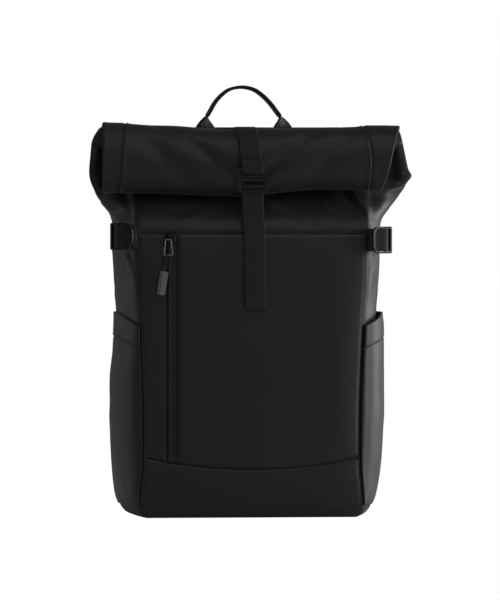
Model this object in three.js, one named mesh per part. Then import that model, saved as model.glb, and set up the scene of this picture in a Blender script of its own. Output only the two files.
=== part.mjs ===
// Rolltop backpack of coated cloth, standing on its base, in millimetres, +Z up.
// Origin: centre of the base on the floor. Front is -Y, the wearer's side is +Y.
// The bag is a hollow body of sewn panels; its mouth is rolled forward and held by one webbing strap.

import * as THREE from "three";

// Body
const BODY_HEIGHT = 417; // floor to the top of the roll
const BODY_WIDTH = 284; // across the side walls, pockets left out
const BODY_DEPTH = 134; // front seam line to back
const FRONT_WIDTH = 231; // between the two front seams at their closest
const BACK_WIDTH = 256; // between the two back seams
const FRONT_CROWN = 5; // how far the stuffed front stands out at its middle
const BACK_CROWN = 3;
const CLOTH = 1.6; // coated cloth with its backing
const BACK_PAD = 8; // padded back
const PAD_EDGE = 0.16; // share of the back over which its padding thins out to its seams
const SEAM_GAP = 0.3; // running gap between pieces that meet
const TOP_SEAM = 0.7194 * BODY_HEIGHT; // height of the seam between front pocket and yoke
const BASE_SEAM = 52; // height of the base panel's seam at its middle
const BASE_SEAM_RISE = 13; // how much higher that seam is at its ends
const BACK_SEAM = 0.9137 * BODY_HEIGHT; // height where the back panel ends and the rolled cloth starts

// Roll
const ROLL_WIDTH = 315; // across its folded ends
const ROLL_HEIGHT = 0.1823 * BODY_HEIGHT;
const ROLL_DEPTH = 52;
const ROLL_OVERHANG = 6; // how far its face stands in front of the front seam line
const ROLL_TURNS = 1.62;
const ROLL_PITCH = 6.6; // spacing of its turns
const ROLL_CLOTH = 3; // two layers of cloth rolled together
const ROLL_SQUARE = 2.5; // superellipse power of its turns
const END_RISE = 2; // how much higher the bulky ends lie
const ROLL_START = -14; // degrees from its top, backward, where the rolled sheet leaves the back
const ROLL_STEP = 18; // degrees between its lines of points
const ON_BACK = -90; // stands for an angle on the part of the sheet that runs up the back

// Side pockets
const POCKET_TOP_FRONT = 0.487 * BODY_HEIGHT; // mouth height at the front seam
const POCKET_TOP_SIDE = 0.518 * BODY_HEIGHT; // mouth height at the side
const POCKET_FOOT = 13; // height of its lower edge
const POCKET_GAPE = 6; // how far its wall stands off at the mouth
const POCKET_EDGE = 0.03; // share of the side panel left free beside each seam
const POCKET_SLOPE = 2.4; // how soon its mouth reaches the side's height
const POCKET_ROUND = 0.6; // power of its outline from above; lower is fuller
const POCKET_FOOT_GAPE = 0.25; // share of its gape at its foot
const POCKET_SWELL = 0.5; // share of its height at which it is fully wide

// Zip on the front
const ZIP_CENTRE = -86.2;
const ZIP_WIDTH = 11;
const ZIP_RECESS = 0.7;

// Webbing and buckles
const WEBBING = 25;
const SIDE_WEBBING = 24;
const WEBBING_THICK = 1.5;
const STRAP_CLEAR = 0.35; // between webbing and what it lies on
const STRAP_CENTRE = -1.5; // centre of the front strap at its buckle
const TAIL_END = 0.5276 * BODY_HEIGHT; // height of the strap's free end
const HOOK_WIDTH = 32;
const HOOK_HEIGHT = 26;
const HOOK_TOP = BODY_HEIGHT - 0.638 * ROLL_HEIGHT;
const HOOK_THICK = 2.4;
const HOOK_BAR = 3;
const HOOK_MIDDLE_BAR = 4.4;
const HOOK_SLOT = 5.4;
const HOOK_STAND_OFF = 4.6; // roll's face to the rear of the buckle
const HOOK_RADIUS = 4.6;
const HOOK_LIP = 1.4; // how far the open hook's tip turns down
const HOOK_LIP_WIDTH = 1.8;
const HOOK_CHAMFER = 1;
const SIDE_FRAME_WIDTH = 31;
const SIDE_FRAME_HEIGHT = 28.6;
const SIDE_FRAME_BAR = 2;
const SIDE_FRAME_THICK = 2.5;
const SIDE_FRAME_ANGLE = 45; // degrees between its face and the front
const SIDE_FRAME_STAND_OFF = 3.1; // rear of the frame to the body's corner
const SIDE_FRAME_START = 0; // front seam to the frame, along the frame
const SIDE_FRAME_ROUND = 9; // corner radius of its round side
const SIDE_FRAME_SMALL = 2; // corner radius of its straight side
const SIDE_FRAME_MIDDLE = 4; // place of its middle bar towards its straight side
const SIDE_STRAP_LEFT = TOP_SEAM - 3; // height of the left side strap's centre
const SIDE_STRAP_RIGHT = TOP_SEAM - 7;

// Zip pull
const SLIDER_WIDTH = 9.6;
const SLIDER_HEIGHT = 9;
const SLIDER_THICK = 4;
const RING_TOP = TOP_SEAM - 5.5;
const RING_HEIGHT = 18;
const RING_WIDTH = 11;
const RING_WIRE = 1.5;
const RING_TAPER = 0.625; // width of its top as a share of its foot
const RING_SHIFT = -4; // how far it hangs to the left of the zip's centre
const CORD_SHIFT = -5.4;
const CORD_DIAMETER = 2.4;
const CORD_LENGTH = 16;
const GRIP_WIDTH = 8.4;
const GRIP_LENGTH = 25;
const GRIP_THICK = 5;
const GRIP_LEAN = 9; // degrees
const GRIP_CHAMFER = 1.6;
const SLIDER_RADIUS = 2.5;

// Grab handle
const HANDLE_SPAN = 80; // between its two arms
const HANDLE_RISE = BODY_HEIGHT + 41.5; // height of its top
const HANDLE_THICK = 3.6;
const HANDLE_WIDTH = 25;
const HANDLE_FOOT = BACK_SEAM + 3; // height where its ends are sewn on
const HANDLE_TURN = [0.17, 0.29]; // shares of its length between which it turns from flat to level

// Shoulder straps
const SHOULDER_STRAP_WIDTH = 62;
const SHOULDER_STRAP_THICK = 11;
const SHOULDER_STRAP_TOP = BACK_SEAM - 19;
const SHOULDER_STRAP_END = 0.36 * BODY_HEIGHT;
const SHOULDER_STRAP_BOW = 30; // how far it stands off the back at its middle
const SHOULDER_STRAP_SPREAD = 52; // centre of each strap at its top
const SHOULDER_STRAP_SPLAY = 22; // how much further out its lower end is
const BOW_SHIFT = 0.85; // below 1 the bow is nearer its top
const BOW_POWER = 1.4; // above 1 its ends lie flatter
const LOWER_WEBBING = 20;
const LOWER_ANCHOR = 34; // height of the webbing's sewn end
const LADDER_HEIGHT = 22;
const LADDER_THICK = 3;
const LADDER_RIM = 3.5; // beside its slots
const LADDER_RADIUS = 2.5;
const SLOT_PLAY = 0.8; // between webbing and the end of a slot
const STRAP_NARROW = 0.72; // width of a shoulder strap's lower end as a share of its full width
const STRAP_EDGE = 0.55; // thickness of its edges as a share of its middle

// Sections of the body from the base up. height is a share of BODY_HEIGHT; front, back and widest
// are shares of half BODY_DEPTH; the seams are shares of half FRONT_WIDTH and half BACK_WIDTH; the
// sides are shares of half BODY_WIDTH; round is 1 for a full corner and 0 for a straight fold.
const SECTIONS = table(
  "height front back widest seamLeft seamRight sideLeft sideRight backSeamLeft backSeamRight crown round",
  [
    [0.0, 0.83, 0.8, 0.07, 0.985, 0.985, 0.83, 0.83, 0.87, 0.87, 0, 1],
    [0.0035, 0.92, 0.89, 0.07, 1.015, 1.015, 0.89, 0.89, 0.925, 0.925, 0.05, 1],
    [0.012, 0.97, 0.94, 0.07, 1.035, 1.035, 0.932, 0.932, 0.955, 0.955, 0.15, 1],
    [0.03, 1.0, 0.975, 0.07, 1.042, 1.042, 0.962, 0.962, 0.975, 0.975, 0.3, 1],
    [0.064, 1.01, 0.985, 0.07, 1.03, 1.03, 0.976, 0.976, 0.985, 0.985, 0.5, 1],
    [0.15, 1.015, 0.985, 0.07, 1.0, 1.0, 0.974, 0.974, 1.0, 1.0, 0.8, 1],
    [0.31, 1.015, 0.985, 0.07, 1.004, 1.004, 0.972, 0.972, 1.0, 1.0, 1.0, 1],
    [0.49, 1.015, 0.985, 0.07, 1.028, 1.028, 0.974, 0.974, 1.0, 1.0, 1.0, 1],
    [0.6, 1.01, 0.985, 0.06, 1.042, 1.042, 1.002, 1.0, 1.005, 1.005, 0.9, 1],
    [0.695, 1.0, 0.985, 0.05, 1.05, 1.05, 1.008, 1.004, 1.01, 1.01, 0.75, 0.97],
    [0.748, 0.95, 0.985, 0.03, 1.06, 1.064, 1.01, 1.012, 1.03, 1.03, 0.6, 0.85],
    [0.783, 0.74, 0.985, 0.02, 1.05, 1.05, 1.06, 1.075, 1.06, 1.06, 0.4, 0.65],
    [0.818, 0.45, 0.985, 0, 1.02, 0.97, 1.14, 1.15, 1.09, 1.09, 0.15, 0.45],
    [0.863, 0.31, 0.985, 0, 1.0, 0.945, 1.19, 1.222, 1.12, 1.12, 0, 0.22],
    [0.911, 0.25, 0.975, 0.02, 1.02, 0.965, 1.183, 1.205, 1.12, 1.12, 0, 0.22],
    [0.95, 0.27, 0.66, 0.1, 1.06, 0.995, 1.168, 1.185, 1.1, 1.06, 0, 0.2],
    [0.974, 0.37, 0.2, -0.08, 1.1, 1.02, 1.14, 1.155, 1.07, 0.99, 0, 0.15],
    [0.985, 0.525, -0.24, -0.37, 1.13, 1.035, 1.112, 1.118, 1.03, 0.935, 0, 0.1],
  ],
);

// Where the roll's sewn seams and folded ends run, by the angle turned from the top of the roll
// forward and down, in degrees. All four are shares of half ROLL_WIDTH.
const ROLL_LINES = table("angle seamLeft seamRight foldLeft foldRight", [
  [-86, 0.832, 0.755, 0.995, 0.995],
  [0, 0.844, 0.748, 1.0, 1.003],
  [50, 0.862, 0.775, 1.004, 0.97],
  [90, 0.882, 0.796, 1.008, 0.93],
  [150, 0.887, 0.79, 1.003, 0.885],
  [180, 0.887, 0.789, 0.99, 0.87],
  [270, 0.887, 0.789, 0.955, 0.85],
  [600, 0.887, 0.789, 0.95, 0.84],
]);

// Soft folds of the cloth. Each is a hollow along a straight line from one point to another, given
// in shares of half BODY_WIDTH across and of BODY_HEIGHT up; depth and reach are in millimetres.
const FOLDS = table("wall x0 z0 x1 z1 depth reach", [
  [0, -0.08, 0.815, -0.5, 0.765, 2.2, 9],
  [0, 0.12, 0.82, 0.42, 0.745, 2.6, 10],
  [0, 0.3, 0.825, 0.72, 0.77, 2.4, 9],
  [0, 0.72, 0.815, 0.86, 0.765, 2.8, 8],
  [-1, 0.9, 0.8, 1.06, 0.76, 2.4, 7],
  [-1, 0.96, 0.66, 0.98, 0.585, 1.8, 7],
  [1, 0.93, 0.66, 0.96, 0.59, 2.0, 7],
  [1, 0.95, 0.84, 1.2, 0.855, 3.0, 8],
]);

// Outline of each half of the grab handle: millimetres outward of its arm and share of its rise.
const HANDLE_ARM = table("out rise", [
  [2.5, -0.138],
  [2.5, 0],
  [2, 0.3],
  [-0.6, 0.54],
  [-7, 0.678],
  [-17, 0.805],
  [-28, 0.93],
]);

// Routes of the straps seen from the side: each point lies some millimetres in front of a named line
// and above a named level.
const UPPER_ROUTE = table("line front level above", [
  ["roll", 0.6, "hookTop", 18],
  ["roll", 3.2, "hookTop", 9.5],
  ["hookFront", -0.3, "hookTop", 3.5],
  ["hookFront", 0, "hookTop", 0],
  ["hookFront", 0, "topBar", 0.8],
  ["frontCorner", 0.05, "topBarCorner", -0.05],
  ["hookMiddle", 0, "underTopBar", -0.1],
  ["rearCorner", 0, "topBarCorner", 0],
  ["hookRear", 0, "topBar", 0.8],
  ["hookRear", 0, "hookTop", 0],
  ["roll", 0.5, "hookTop", 5],
  ["roll", 0, "hookTop", 11],
]);
const TAIL_ROUTE = table("line front level above", [
  ["pocket", 0, "topSeam", -1],
  ["pocket", 0.5, "topSeam", 16],
  ["secondLayer", -0.4, "hookLow", -8],
  ["secondLayer", 0, "hookLow", 2],
  ["hookRear", -1.2, "middleLow", -2],
  ["hookRear", 0, "middleLow", 1],
  ["hookRear", 0, "middleTop", -0.6],
  ["rearCorner", 0, "middleCorner", 0],
  ["hookMiddle", 0, "overMiddle", 0.1],
  ["frontCorner", 0, "middleCorner", 0],
  ["hookFront", 0, "middleTop", -0.6],
  ["hookFront", 0, "middleLow", 0.6],
  ["hookFront", -0.6, "middleLow", -1.6],
  ["hookRear", 0.9, "lowBar", 3.2],
  ["hookRear", 0, "lowBar", 0.6],
  ["hookRear", 0, "hookLow", 1],
  ["hookRear", -0.4, "hookLow", -8],
  ["overPocket", 0.5, "topSeam", 16],
  ["overPocket", 0, "topSeam", -1],
]);
const LOWER_ROUTE = table("line front level above", [
  ["back", 0, "anchor", 0],
  ["back", -1.2, "anchor", 22],
  ["behind", 0, "ladderLow", -6],
  ["behind", 0, "slot", -1.5],
  ["behindCorner", 0, "slotCorner", 0],
  ["ladder", 0, "overSlot", 0.1],
  ["outerCorner", 0, "slotCorner", 0],
  ["outer", 0, "slot", -1.5],
  ["outer", 0, "ladderLow", -6],
  ["outer", 1, "ladderLow", -40],
]);

// Free end of the front strap: share of its height above its end, and clearance.
const TAIL_FALL = table("rise clear", [
  [0.6, 0.6],
  [0.25, 0.2],
  [0, 0],
]);

// Slots of a ladder buckle, measured down from its top.
const LADDER_SLOTS = table("top foot", [
  [3, 7.5],
  [12, 18],
]);

// Route of a side strap through its frame: millimetres along from a named bar, 1 in front of the
// frame or -1 behind it, and how much nearer to the front it is eased.
const FRAME_ROUTE = table("bar along face ease", [
  ["round", -0.5, -1, 0],
  ["round", 6.5, -1, 0],
  ["middle", -1.6, 1, 0],
  ["middle", 1.6, 1, 0],
  ["straight", -2.5, -1, 0.4],
  ["straight", 0.8, -1, 0],
]);
const STRAP_ON_SIDE = [0.42, 0.5, 0.62, 0.75, 0.88, 0.985]; // then where it lies on the side panel

// How the front strap leans: height as a share of BODY_HEIGHT, shift in millimetres.
const STRAP_LEAN = table("height shift", [
  [0.5, 3.4],
  [0.7, 2.7],
  [0.79, 0.6],
  [0.82, 0],
  [0.885, 0],
  [0.93, -2.6],
  [1.0, -5.8],
]);

const SHELL_CLOTH = new THREE.MeshStandardMaterial({ color: 0x242528, roughness: 0.62, metalness: 0 });
const WEBBING_CLOTH = new THREE.MeshStandardMaterial({ color: 0x151a20, roughness: 0.8, metalness: 0 });
const ZIP_CLOTH = new THREE.MeshStandardMaterial({ color: 0x191d23, roughness: 0.7, metalness: 0 });
const BACK_MESH = new THREE.MeshStandardMaterial({ color: 0x1c1d1f, roughness: 0.9, metalness: 0 });
const BLACK_METAL = new THREE.MeshStandardMaterial({ color: 0x1b2027, roughness: 0.35, metalness: 0.8 });
const BLACK_PLASTIC = new THREE.MeshStandardMaterial({ color: 0x14161a, roughness: 0.45, metalness: 0 });
const GREY_RUBBER = new THREE.MeshStandardMaterial({ color: 0x707476, roughness: 0.6, metalness: 0 });

const bag = new THREE.Group();

// Small helpers

function table(columns, rows) {
  const names = columns.trim().split(/\s+/);
  return rows.map((row) => Object.fromEntries(names.map((name, i) => [name, row[i]])));
}

function lerp(a, b, t) {
  return a + (b - a) * t;
}

function vec(x, y, z) {
  return new THREE.Vector3(x, y, z);
}

function radians(degrees) {
  return (degrees * Math.PI) / 180;
}

// Cubic through one column of a table at a row position that need not be whole.
function smoothColumn(rows, name, position) {
  const last = rows.length - 1;
  const row = Math.min(last - 1, Math.max(0, Math.floor(position)));
  const t = position - row;
  const at = (i) => rows[Math.min(last, Math.max(0, i))][name];
  const [p0, p1, p2, p3] = [at(row - 1), at(row), at(row + 1), at(row + 2)];
  const m1 = (p2 - p0) / 2;
  const m2 = (p3 - p1) / 2;
  const t2 = t * t;
  const t3 = t2 * t;
  return (2 * t3 - 3 * t2 + 1) * p1 + (t3 - 2 * t2 + t) * m1 + (3 * t2 - 2 * t3) * p2 + (t3 - t2) * m2;
}

// Straight interpolation of one column against a rising key column.
function lookUp(rows, key, name, value) {
  if (value <= rows[0][key]) return rows[0][name];
  for (let i = 1; i < rows.length; i++) {
    const [a, b] = [rows[i - 1], rows[i]];
    if (value <= b[key]) return lerp(a[name], b[name], (value - a[key]) / (b[key] - a[key]));
  }
  return rows[rows.length - 1][name];
}

function addPiece(name, geometry, material) {
  const mesh = new THREE.Mesh(geometry, material);
  mesh.name = name;
  bag.add(mesh);
  return mesh;
}

// Body surface: a wall is a function of a share across it and a row position up the sections

const TOP_ROW = SECTIONS.length - 1;

function heightAt(row) {
  return smoothColumn(SECTIONS, "height", row) * BODY_HEIGHT;
}

function rowAt(height) {
  let low = 0;
  let high = TOP_ROW;
  for (let i = 0; i < 40; i++) {
    const middle = (low + high) / 2;
    if (heightAt(middle) < height) low = middle;
    else high = middle;
  }
  return (low + high) / 2;
}

function frontLine(row) {
  return (-smoothColumn(SECTIONS, "front", row) * BODY_DEPTH) / 2;
}

function backLine(row) {
  return (smoothColumn(SECTIONS, "back", row) * BODY_DEPTH) / 2;
}

function seamX(side, row) {
  return (side * smoothColumn(SECTIONS, side < 0 ? "seamLeft" : "seamRight", row) * FRONT_WIDTH) / 2;
}

function backSeamX(side, row) {
  return (side * smoothColumn(SECTIONS, side < 0 ? "backSeamLeft" : "backSeamRight", row) * BACK_WIDTH) / 2;
}

function foldHollow(wall, x, z) {
  let hollow = 0;
  for (const fold of FOLDS) {
    if (fold.wall !== wall) continue;
    const a = new THREE.Vector2((fold.x0 * BODY_WIDTH) / 2, fold.z0 * BODY_HEIGHT);
    const b = new THREE.Vector2((fold.x1 * BODY_WIDTH) / 2, fold.z1 * BODY_HEIGHT);
    const along = b.clone().sub(a);
    const t = new THREE.Vector2(x, z).sub(a).dot(along) / along.lengthSq();
    const clamped = Math.min(1, Math.max(0, t));
    const distance = a.addScaledVector(along, clamped).distanceTo(new THREE.Vector2(x, z));
    hollow += fold.depth * Math.exp(-((distance / fold.reach) ** 2));
  }
  return hollow;
}

const FRONT_FOLD_EASE = 24; // how soon folds deepen beside a seam

function frontWall(share, row) {
  const x = lerp(seamX(-1, row) + SEAM_GAP / 2, seamX(1, row) - SEAM_GAP / 2, share);
  const crown = FRONT_CROWN * smoothColumn(SECTIONS, "crown", row) * 4 * share * (1 - share);
  const edge = Math.min(1, FRONT_FOLD_EASE * share * (1 - share));
  const z = heightAt(row);
  return vec(x, frontLine(row) - crown + edge * foldHollow(0, x, z), z);
}

function backWall(share, row) {
  const x = lerp(backSeamX(-1, row) + SEAM_GAP / 2, backSeamX(1, row) - SEAM_GAP / 2, share);
  const crown = BACK_CROWN * smoothColumn(SECTIONS, "crown", row) * 4 * share * (1 - share);
  return vec(x, backLine(row) + crown, heightAt(row));
}

const FULL_CORNER = 0.62; // handle length of a full round corner, as a share of its side
const SIDE_FOLD_EASE = 5;
const SIDE_FOLD_SHARE = 0.7; // folds are shallower on the side panels

// Side wall from the front seam (share 0) round its widest line (0.5) to the back seam (1).
function sideWall(side, share, row) {
  const widest = new THREE.Vector2(
    (smoothColumn(SECTIONS, side < 0 ? "sideLeft" : "sideRight", row) * BODY_WIDTH) / 2,
    (smoothColumn(SECTIONS, "widest", row) * BODY_DEPTH) / 2,
  );
  const seam = new THREE.Vector2(Math.abs(seamX(side, row)) + SEAM_GAP / 2, frontLine(row));
  const back = new THREE.Vector2(Math.abs(backSeamX(side, row)) + SEAM_GAP / 2, backLine(row));
  const round = smoothColumn(SECTIONS, "round", row);
  const end = share < 0.5 ? seam : back;
  const t = share < 0.5 ? share * 2 : (1 - share) * 2;
  const corner = new THREE.Vector2(widest.x, end.y);
  const handle = (from, to) =>
    from
      .clone()
      .lerp(to, 1 / 3)
      .lerp(from.clone().lerp(corner, FULL_CORNER), round);
  const curve = new THREE.CubicBezierCurve(end, handle(end, widest), handle(widest, end), widest);
  const p = curve.getPoint(t);
  const z = heightAt(row);
  const middle = Math.min(1, SIDE_FOLD_EASE * share * (1 - share));
  const hollow = SIDE_FOLD_SHARE * middle * foldHollow(side, p.x, z);
  return vec(side * (p.x - hollow), p.y, z);
}

// Unit normal of a wall's outline seen from the side, pointing out of the bag.
function profileNormal(line, row, outward) {
  const step = 0.02;
  const [low, high] = [Math.max(0, row - step), Math.min(TOP_ROW, row + step)];
  const dy = line(high) - line(low);
  const dz = heightAt(high) - heightAt(low);
  return vec(0, dz * outward, -dy * outward).normalize();
}

function surfaceNormal(surface, u, v, away) {
  const step = 0.004;
  const [u0, u1] = [Math.max(0, u - step), Math.min(1, u + step)];
  const [v0, v1] = [Math.max(0, v - step), Math.min(1, v + step)];
  const du = surface(u1, v).sub(surface(u0, v));
  const dv = surface(u, v1).sub(surface(u, v0));
  const normal = du.cross(dv).normalize();
  return normal.multiplyScalar(Math.sign(normal.dot(away(u, v))) || 1);
}

// Shares from 0 to 1 in even steps.
function evenly(steps) {
  return Array.from({ length: steps + 1 }, (_, i) => i / steps);
}

// Closed slab between an outer and an inner surface, both functions of two shares, with a line of
// points at each share of two lists.
function slab(outer, inner, acrossShares, alongShares) {
  const points = [];
  for (const surface of [outer, inner])
    for (const v of alongShares)
      for (const u of acrossShares) points.push(surface(u, v));
  const columns = acrossShares.length;
  const rows = alongShares.length;
  const across = columns - 1;
  const along = rows - 1;
  const layer = columns * rows;
  const at = (side, i, j) => side * layer + j * columns + i;
  const faces = [];
  const quad = (a, b, c, d) => faces.push(a, b, c, a, c, d);
  for (let j = 0; j < along; j++)
    for (let i = 0; i < across; i++) {
      quad(at(0, i, j), at(0, i + 1, j), at(0, i + 1, j + 1), at(0, i, j + 1));
      quad(at(1, i, j), at(1, i, j + 1), at(1, i + 1, j + 1), at(1, i + 1, j));
    }
  for (let i = 0; i < across; i++) {
    quad(at(0, i, 0), at(1, i, 0), at(1, i + 1, 0), at(0, i + 1, 0));
    quad(at(0, i, along), at(0, i + 1, along), at(1, i + 1, along), at(1, i, along));
  }
  for (let j = 0; j < along; j++) {
    quad(at(0, 0, j), at(0, 0, j + 1), at(1, 0, j + 1), at(1, 0, j));
    quad(at(0, across, j), at(1, across, j), at(1, across, j + 1), at(0, across, j + 1));
  }
  return facingOut(points, faces);
}

// Turns the faces round where the solid would be inside out.
function facingOut(points, faces) {
  let volume = 0;
  for (let i = 0; i < faces.length; i += 3)
    volume += points[faces[i]].dot(points[faces[i + 1]].clone().cross(points[faces[i + 2]]));
  if (volume < 0) faces.reverse();
  const geometry = new THREE.BufferGeometry();
  geometry.setFromPoints(points);
  geometry.setIndex(faces);
  return geometry;
}

// Panel of the front wall between two edges, each a share across by the row, and two seams, each a
// height by the place across.
function frontPanel(left, right, bottom, top, across, along, recess = 0) {
  const level = rowAt(BASE_SEAM);
  const surface = (u, v) => {
    const x = frontWall(lerp(left(level), right(level), u), level).x;
    const row = lerp(rowAt(bottom(x)), rowAt(top(x)), v);
    const p = frontWall(lerp(left(row), right(row), u), row);
    p.y += recess;
    return p;
  };
  return cloth(surface, () => vec(0, -1, 0), () => CLOTH, across, along, bottom(0) <= 0);
}

// A wall behind an outer surface, of the given thickness at each place; a wall that ends on the
// floor ends flat.
function cloth(surface, away, wall, across, along, onFloor) {
  const inner = (u, v) => {
    const thick = wall(u, v);
    if (onFloor && v === 0) return surface(u, v).add(vec(0, 0, thick));
    return surface(u, v).addScaledVector(surfaceNormal(surface, u, v, away), -thick);
  };
  return slab(surface, inner, across, along);
}

// Front panels

function frontShare(x, row) {
  const left = seamX(-1, row);
  return (x - left) / (seamX(1, row) - left);
}

function baseSeam(x) {
  return BASE_SEAM + BASE_SEAM_RISE * Math.abs((2 * x) / FRONT_WIDTH) ** 2.2;
}

// Rows at which the walls have a line of points: whole ones low down, half ones where folds are.
const FOLDED_FROM = 9;

function rowShares(start, end) {
  const rows = [start];
  for (let row = 1; row < end; row += row < FOLDED_FROM ? 1 : 0.5) if (row > start + 0.1) rows.push(row);
  rows.push(end);
  return rows.map((row) => (row - start) / (end - start));
}

const halfGap = SEAM_GAP / 2;
const leftSeam = () => 0;
const rightSeam = () => 1;
const zipEdge = (offset) => (row) => frontShare(ZIP_CENTRE + offset, row);
const aboveBase = (x) => baseSeam(x) + halfGap;
const belowTop = () => TOP_SEAM - halfGap;

function addFront() {
  const crest = heightAt(TOP_ROW);
  const half = ZIP_WIDTH / 2;
  const underBase = (x) => baseSeam(x) - halfGap;
  const yokeFoot = () => TOP_SEAM + halfGap;
  const mainColumns = evenly(8);
  const baseRow = rowAt(BASE_SEAM);
  const [zipStart, zipEnd] = [zipEdge(-half)(baseRow), zipEdge(half)(baseRow)];
  const baseColumns = [0, zipStart, ...mainColumns.map((u) => lerp(zipEnd, 1, u))];
  const base = frontPanel(leftSeam, rightSeam, () => 0, underBase, baseColumns, evenly(8));
  const edge = frontPanel(leftSeam, zipEdge(-half - SEAM_GAP), aboveBase, belowTop, [0, 1], evenly(9));
  const main = frontPanel(zipEdge(half + SEAM_GAP), rightSeam, aboveBase, belowTop, mainColumns, evenly(9));
  const zip = frontPanel(zipEdge(-half), zipEdge(half), aboveBase, belowTop, [0, 1], evenly(9), ZIP_RECESS);
  const yokeRows = rowShares(rowAt(yokeFoot()), TOP_ROW);
  const yoke = frontPanel(leftSeam, rightSeam, yokeFoot, () => crest, evenly(16), yokeRows);
  addPiece("front_base_panel", base, SHELL_CLOTH);
  addPiece("front_panel_edge", edge, SHELL_CLOTH);
  addPiece("front_panel_main", main, SHELL_CLOTH);
  addPiece("zip_tape", zip, ZIP_CLOTH);
  addPiece("front_yoke", yoke, SHELL_CLOTH);
}

// Side panels run from the base to the top of the roll

function addSidePanel(side, name) {
  const surface = (u, v) => sideWall(side, u, v * TOP_ROW);
  const away = () => vec(side, 0, 0);
  const inner = (u, v) => {
    const row = v * TOP_ROW;
    if (v === 0) return surface(u, v).add(vec(0, 0, CLOTH));
    if (u === 0) return surface(u, v).addScaledVector(profileNormal(frontLine, row, -1), -CLOTH);
    if (u === 1) return surface(u, v).addScaledVector(profileNormal(backLine, row, 1), -CLOTH);
    return surface(u, v).addScaledVector(surfaceNormal(surface, u, v, away), -CLOTH);
  };
  addPiece(name, slab(surface, inner, evenly(8), rowShares(0, TOP_ROW)), SHELL_CLOTH);
}

// Back panel, padded, and the flat bottom

function addBackAndBottom() {
  const top = rowAt(BACK_SEAM - halfGap);
  const back = (u, v) => backWall(u, v * top);
  const fromEdge = (share) => THREE.MathUtils.smoothstep(Math.min(share, 1 - share), 0, PAD_EDGE);
  const padded = (u, v) => lerp(CLOTH, BACK_PAD, fromEdge(u) * fromEdge(v));
  const panel = cloth(back, () => vec(0, 1, 0), padded, evenly(6), rowShares(0, top), true);
  addPiece("back_panel", panel, BACK_MESH);
  const outline = [];
  const steps = 12;
  for (let i = 0; i <= steps; i++) outline.push(frontWall(i / steps, 0));
  for (let i = 1; i < steps; i++) outline.push(sideWall(1, i / steps, 0));
  for (let i = steps; i >= 0; i--) outline.push(backWall(i / steps, 0));
  for (let i = steps - 1; i > 0; i--) outline.push(sideWall(-1, i / steps, 0));
  const shape = new THREE.Shape(outline.map((p) => insetFromOutline(p)));
  const bottom = new THREE.ExtrudeGeometry(shape, { depth: CLOTH, bevelEnabled: false });
  addPiece("bottom_panel", bottom, SHELL_CLOTH);
}

// A point of the base outline moved in by the seam's gap.
function insetFromOutline(p) {
  const flat = new THREE.Vector2(p.x, p.y);
  return flat.setLength(flat.length() - 2 * SEAM_GAP);
}

// The roll: its outer face seen from the side, as y and z by the angle turned from its top

const rollCentre = {
  y: -BODY_DEPTH / 2 - ROLL_OVERHANG + ROLL_DEPTH / 2,
  z: BODY_HEIGHT - ROLL_HEIGHT / 2 - ROLL_PITCH / 4,
};

function rollPoint(angle) {
  const turned = Math.max(0, angle) / 360;
  const across = ROLL_DEPTH / 2 - ROLL_PITCH * Math.max(0, turned - 0.25);
  const up = BODY_HEIGHT - rollCentre.z - ROLL_PITCH * turned;
  const a = radians(angle);
  const power = (value) => Math.sign(value) * Math.abs(value) ** (2 / ROLL_SQUARE);
  return { y: rollCentre.y - across * power(Math.sin(a)), z: rollCentre.z + up * power(Math.cos(a)) };
}

// Outer face of the cloth from the back seam, over the top and round the roll.
function rollPath() {
  const points = [];
  const start = rowAt(BACK_SEAM + 3 * SEAM_GAP);
  const backRows = 5;
  for (let i = 0; i < backRows; i++) {
    const row = lerp(start, TOP_ROW, i / (backRows - 1));
    points.push({ angle: ON_BACK + i, row, y: backLine(row), z: heightAt(row) });
  }
  const turns = 360 * ROLL_TURNS;
  for (let angle = ROLL_START; angle < turns; angle += ROLL_STEP) points.push({ angle, ...rollPoint(angle) });
  return points;
}

const ROLL_FINENESS = 1.2; // lines across the sheet for each point of its path

// Sheet that follows part of the roll's path between two lines across it.
function rolledSheet(path, left, right, wallAt, rise, across) {
  const curve = new THREE.CatmullRomCurve3(path.map((p) => vec(0, p.y, p.z)), false, "centripetal");
  const last = path.length - 1;
  const steps = Math.round(last * ROLL_FINENESS);
  const outer = (u, v) => {
    const p = curve.getPoint(v);
    const i = Math.min(last - 1, Math.floor(v * last));
    const mark = { angle: lerp(path[i].angle, path[i + 1].angle, v * last - i), height: p.z, y: p.y };
    p.x = lerp(left(mark), right(mark), u);
    p.z += rise(mark);
    return p;
  };
  const inner = (u, v) => {
    const tangent = curve.getTangent(v);
    const i = v * last;
    return outer(u, v).addScaledVector(vec(0, tangent.z, -tangent.y), -wallAt(i));
  };
  return slab(outer, inner, evenly(across), evenly(steps));
}

const END_RISE_FADE = 120; // degrees from the top over which the ends come down to the roll

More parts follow.
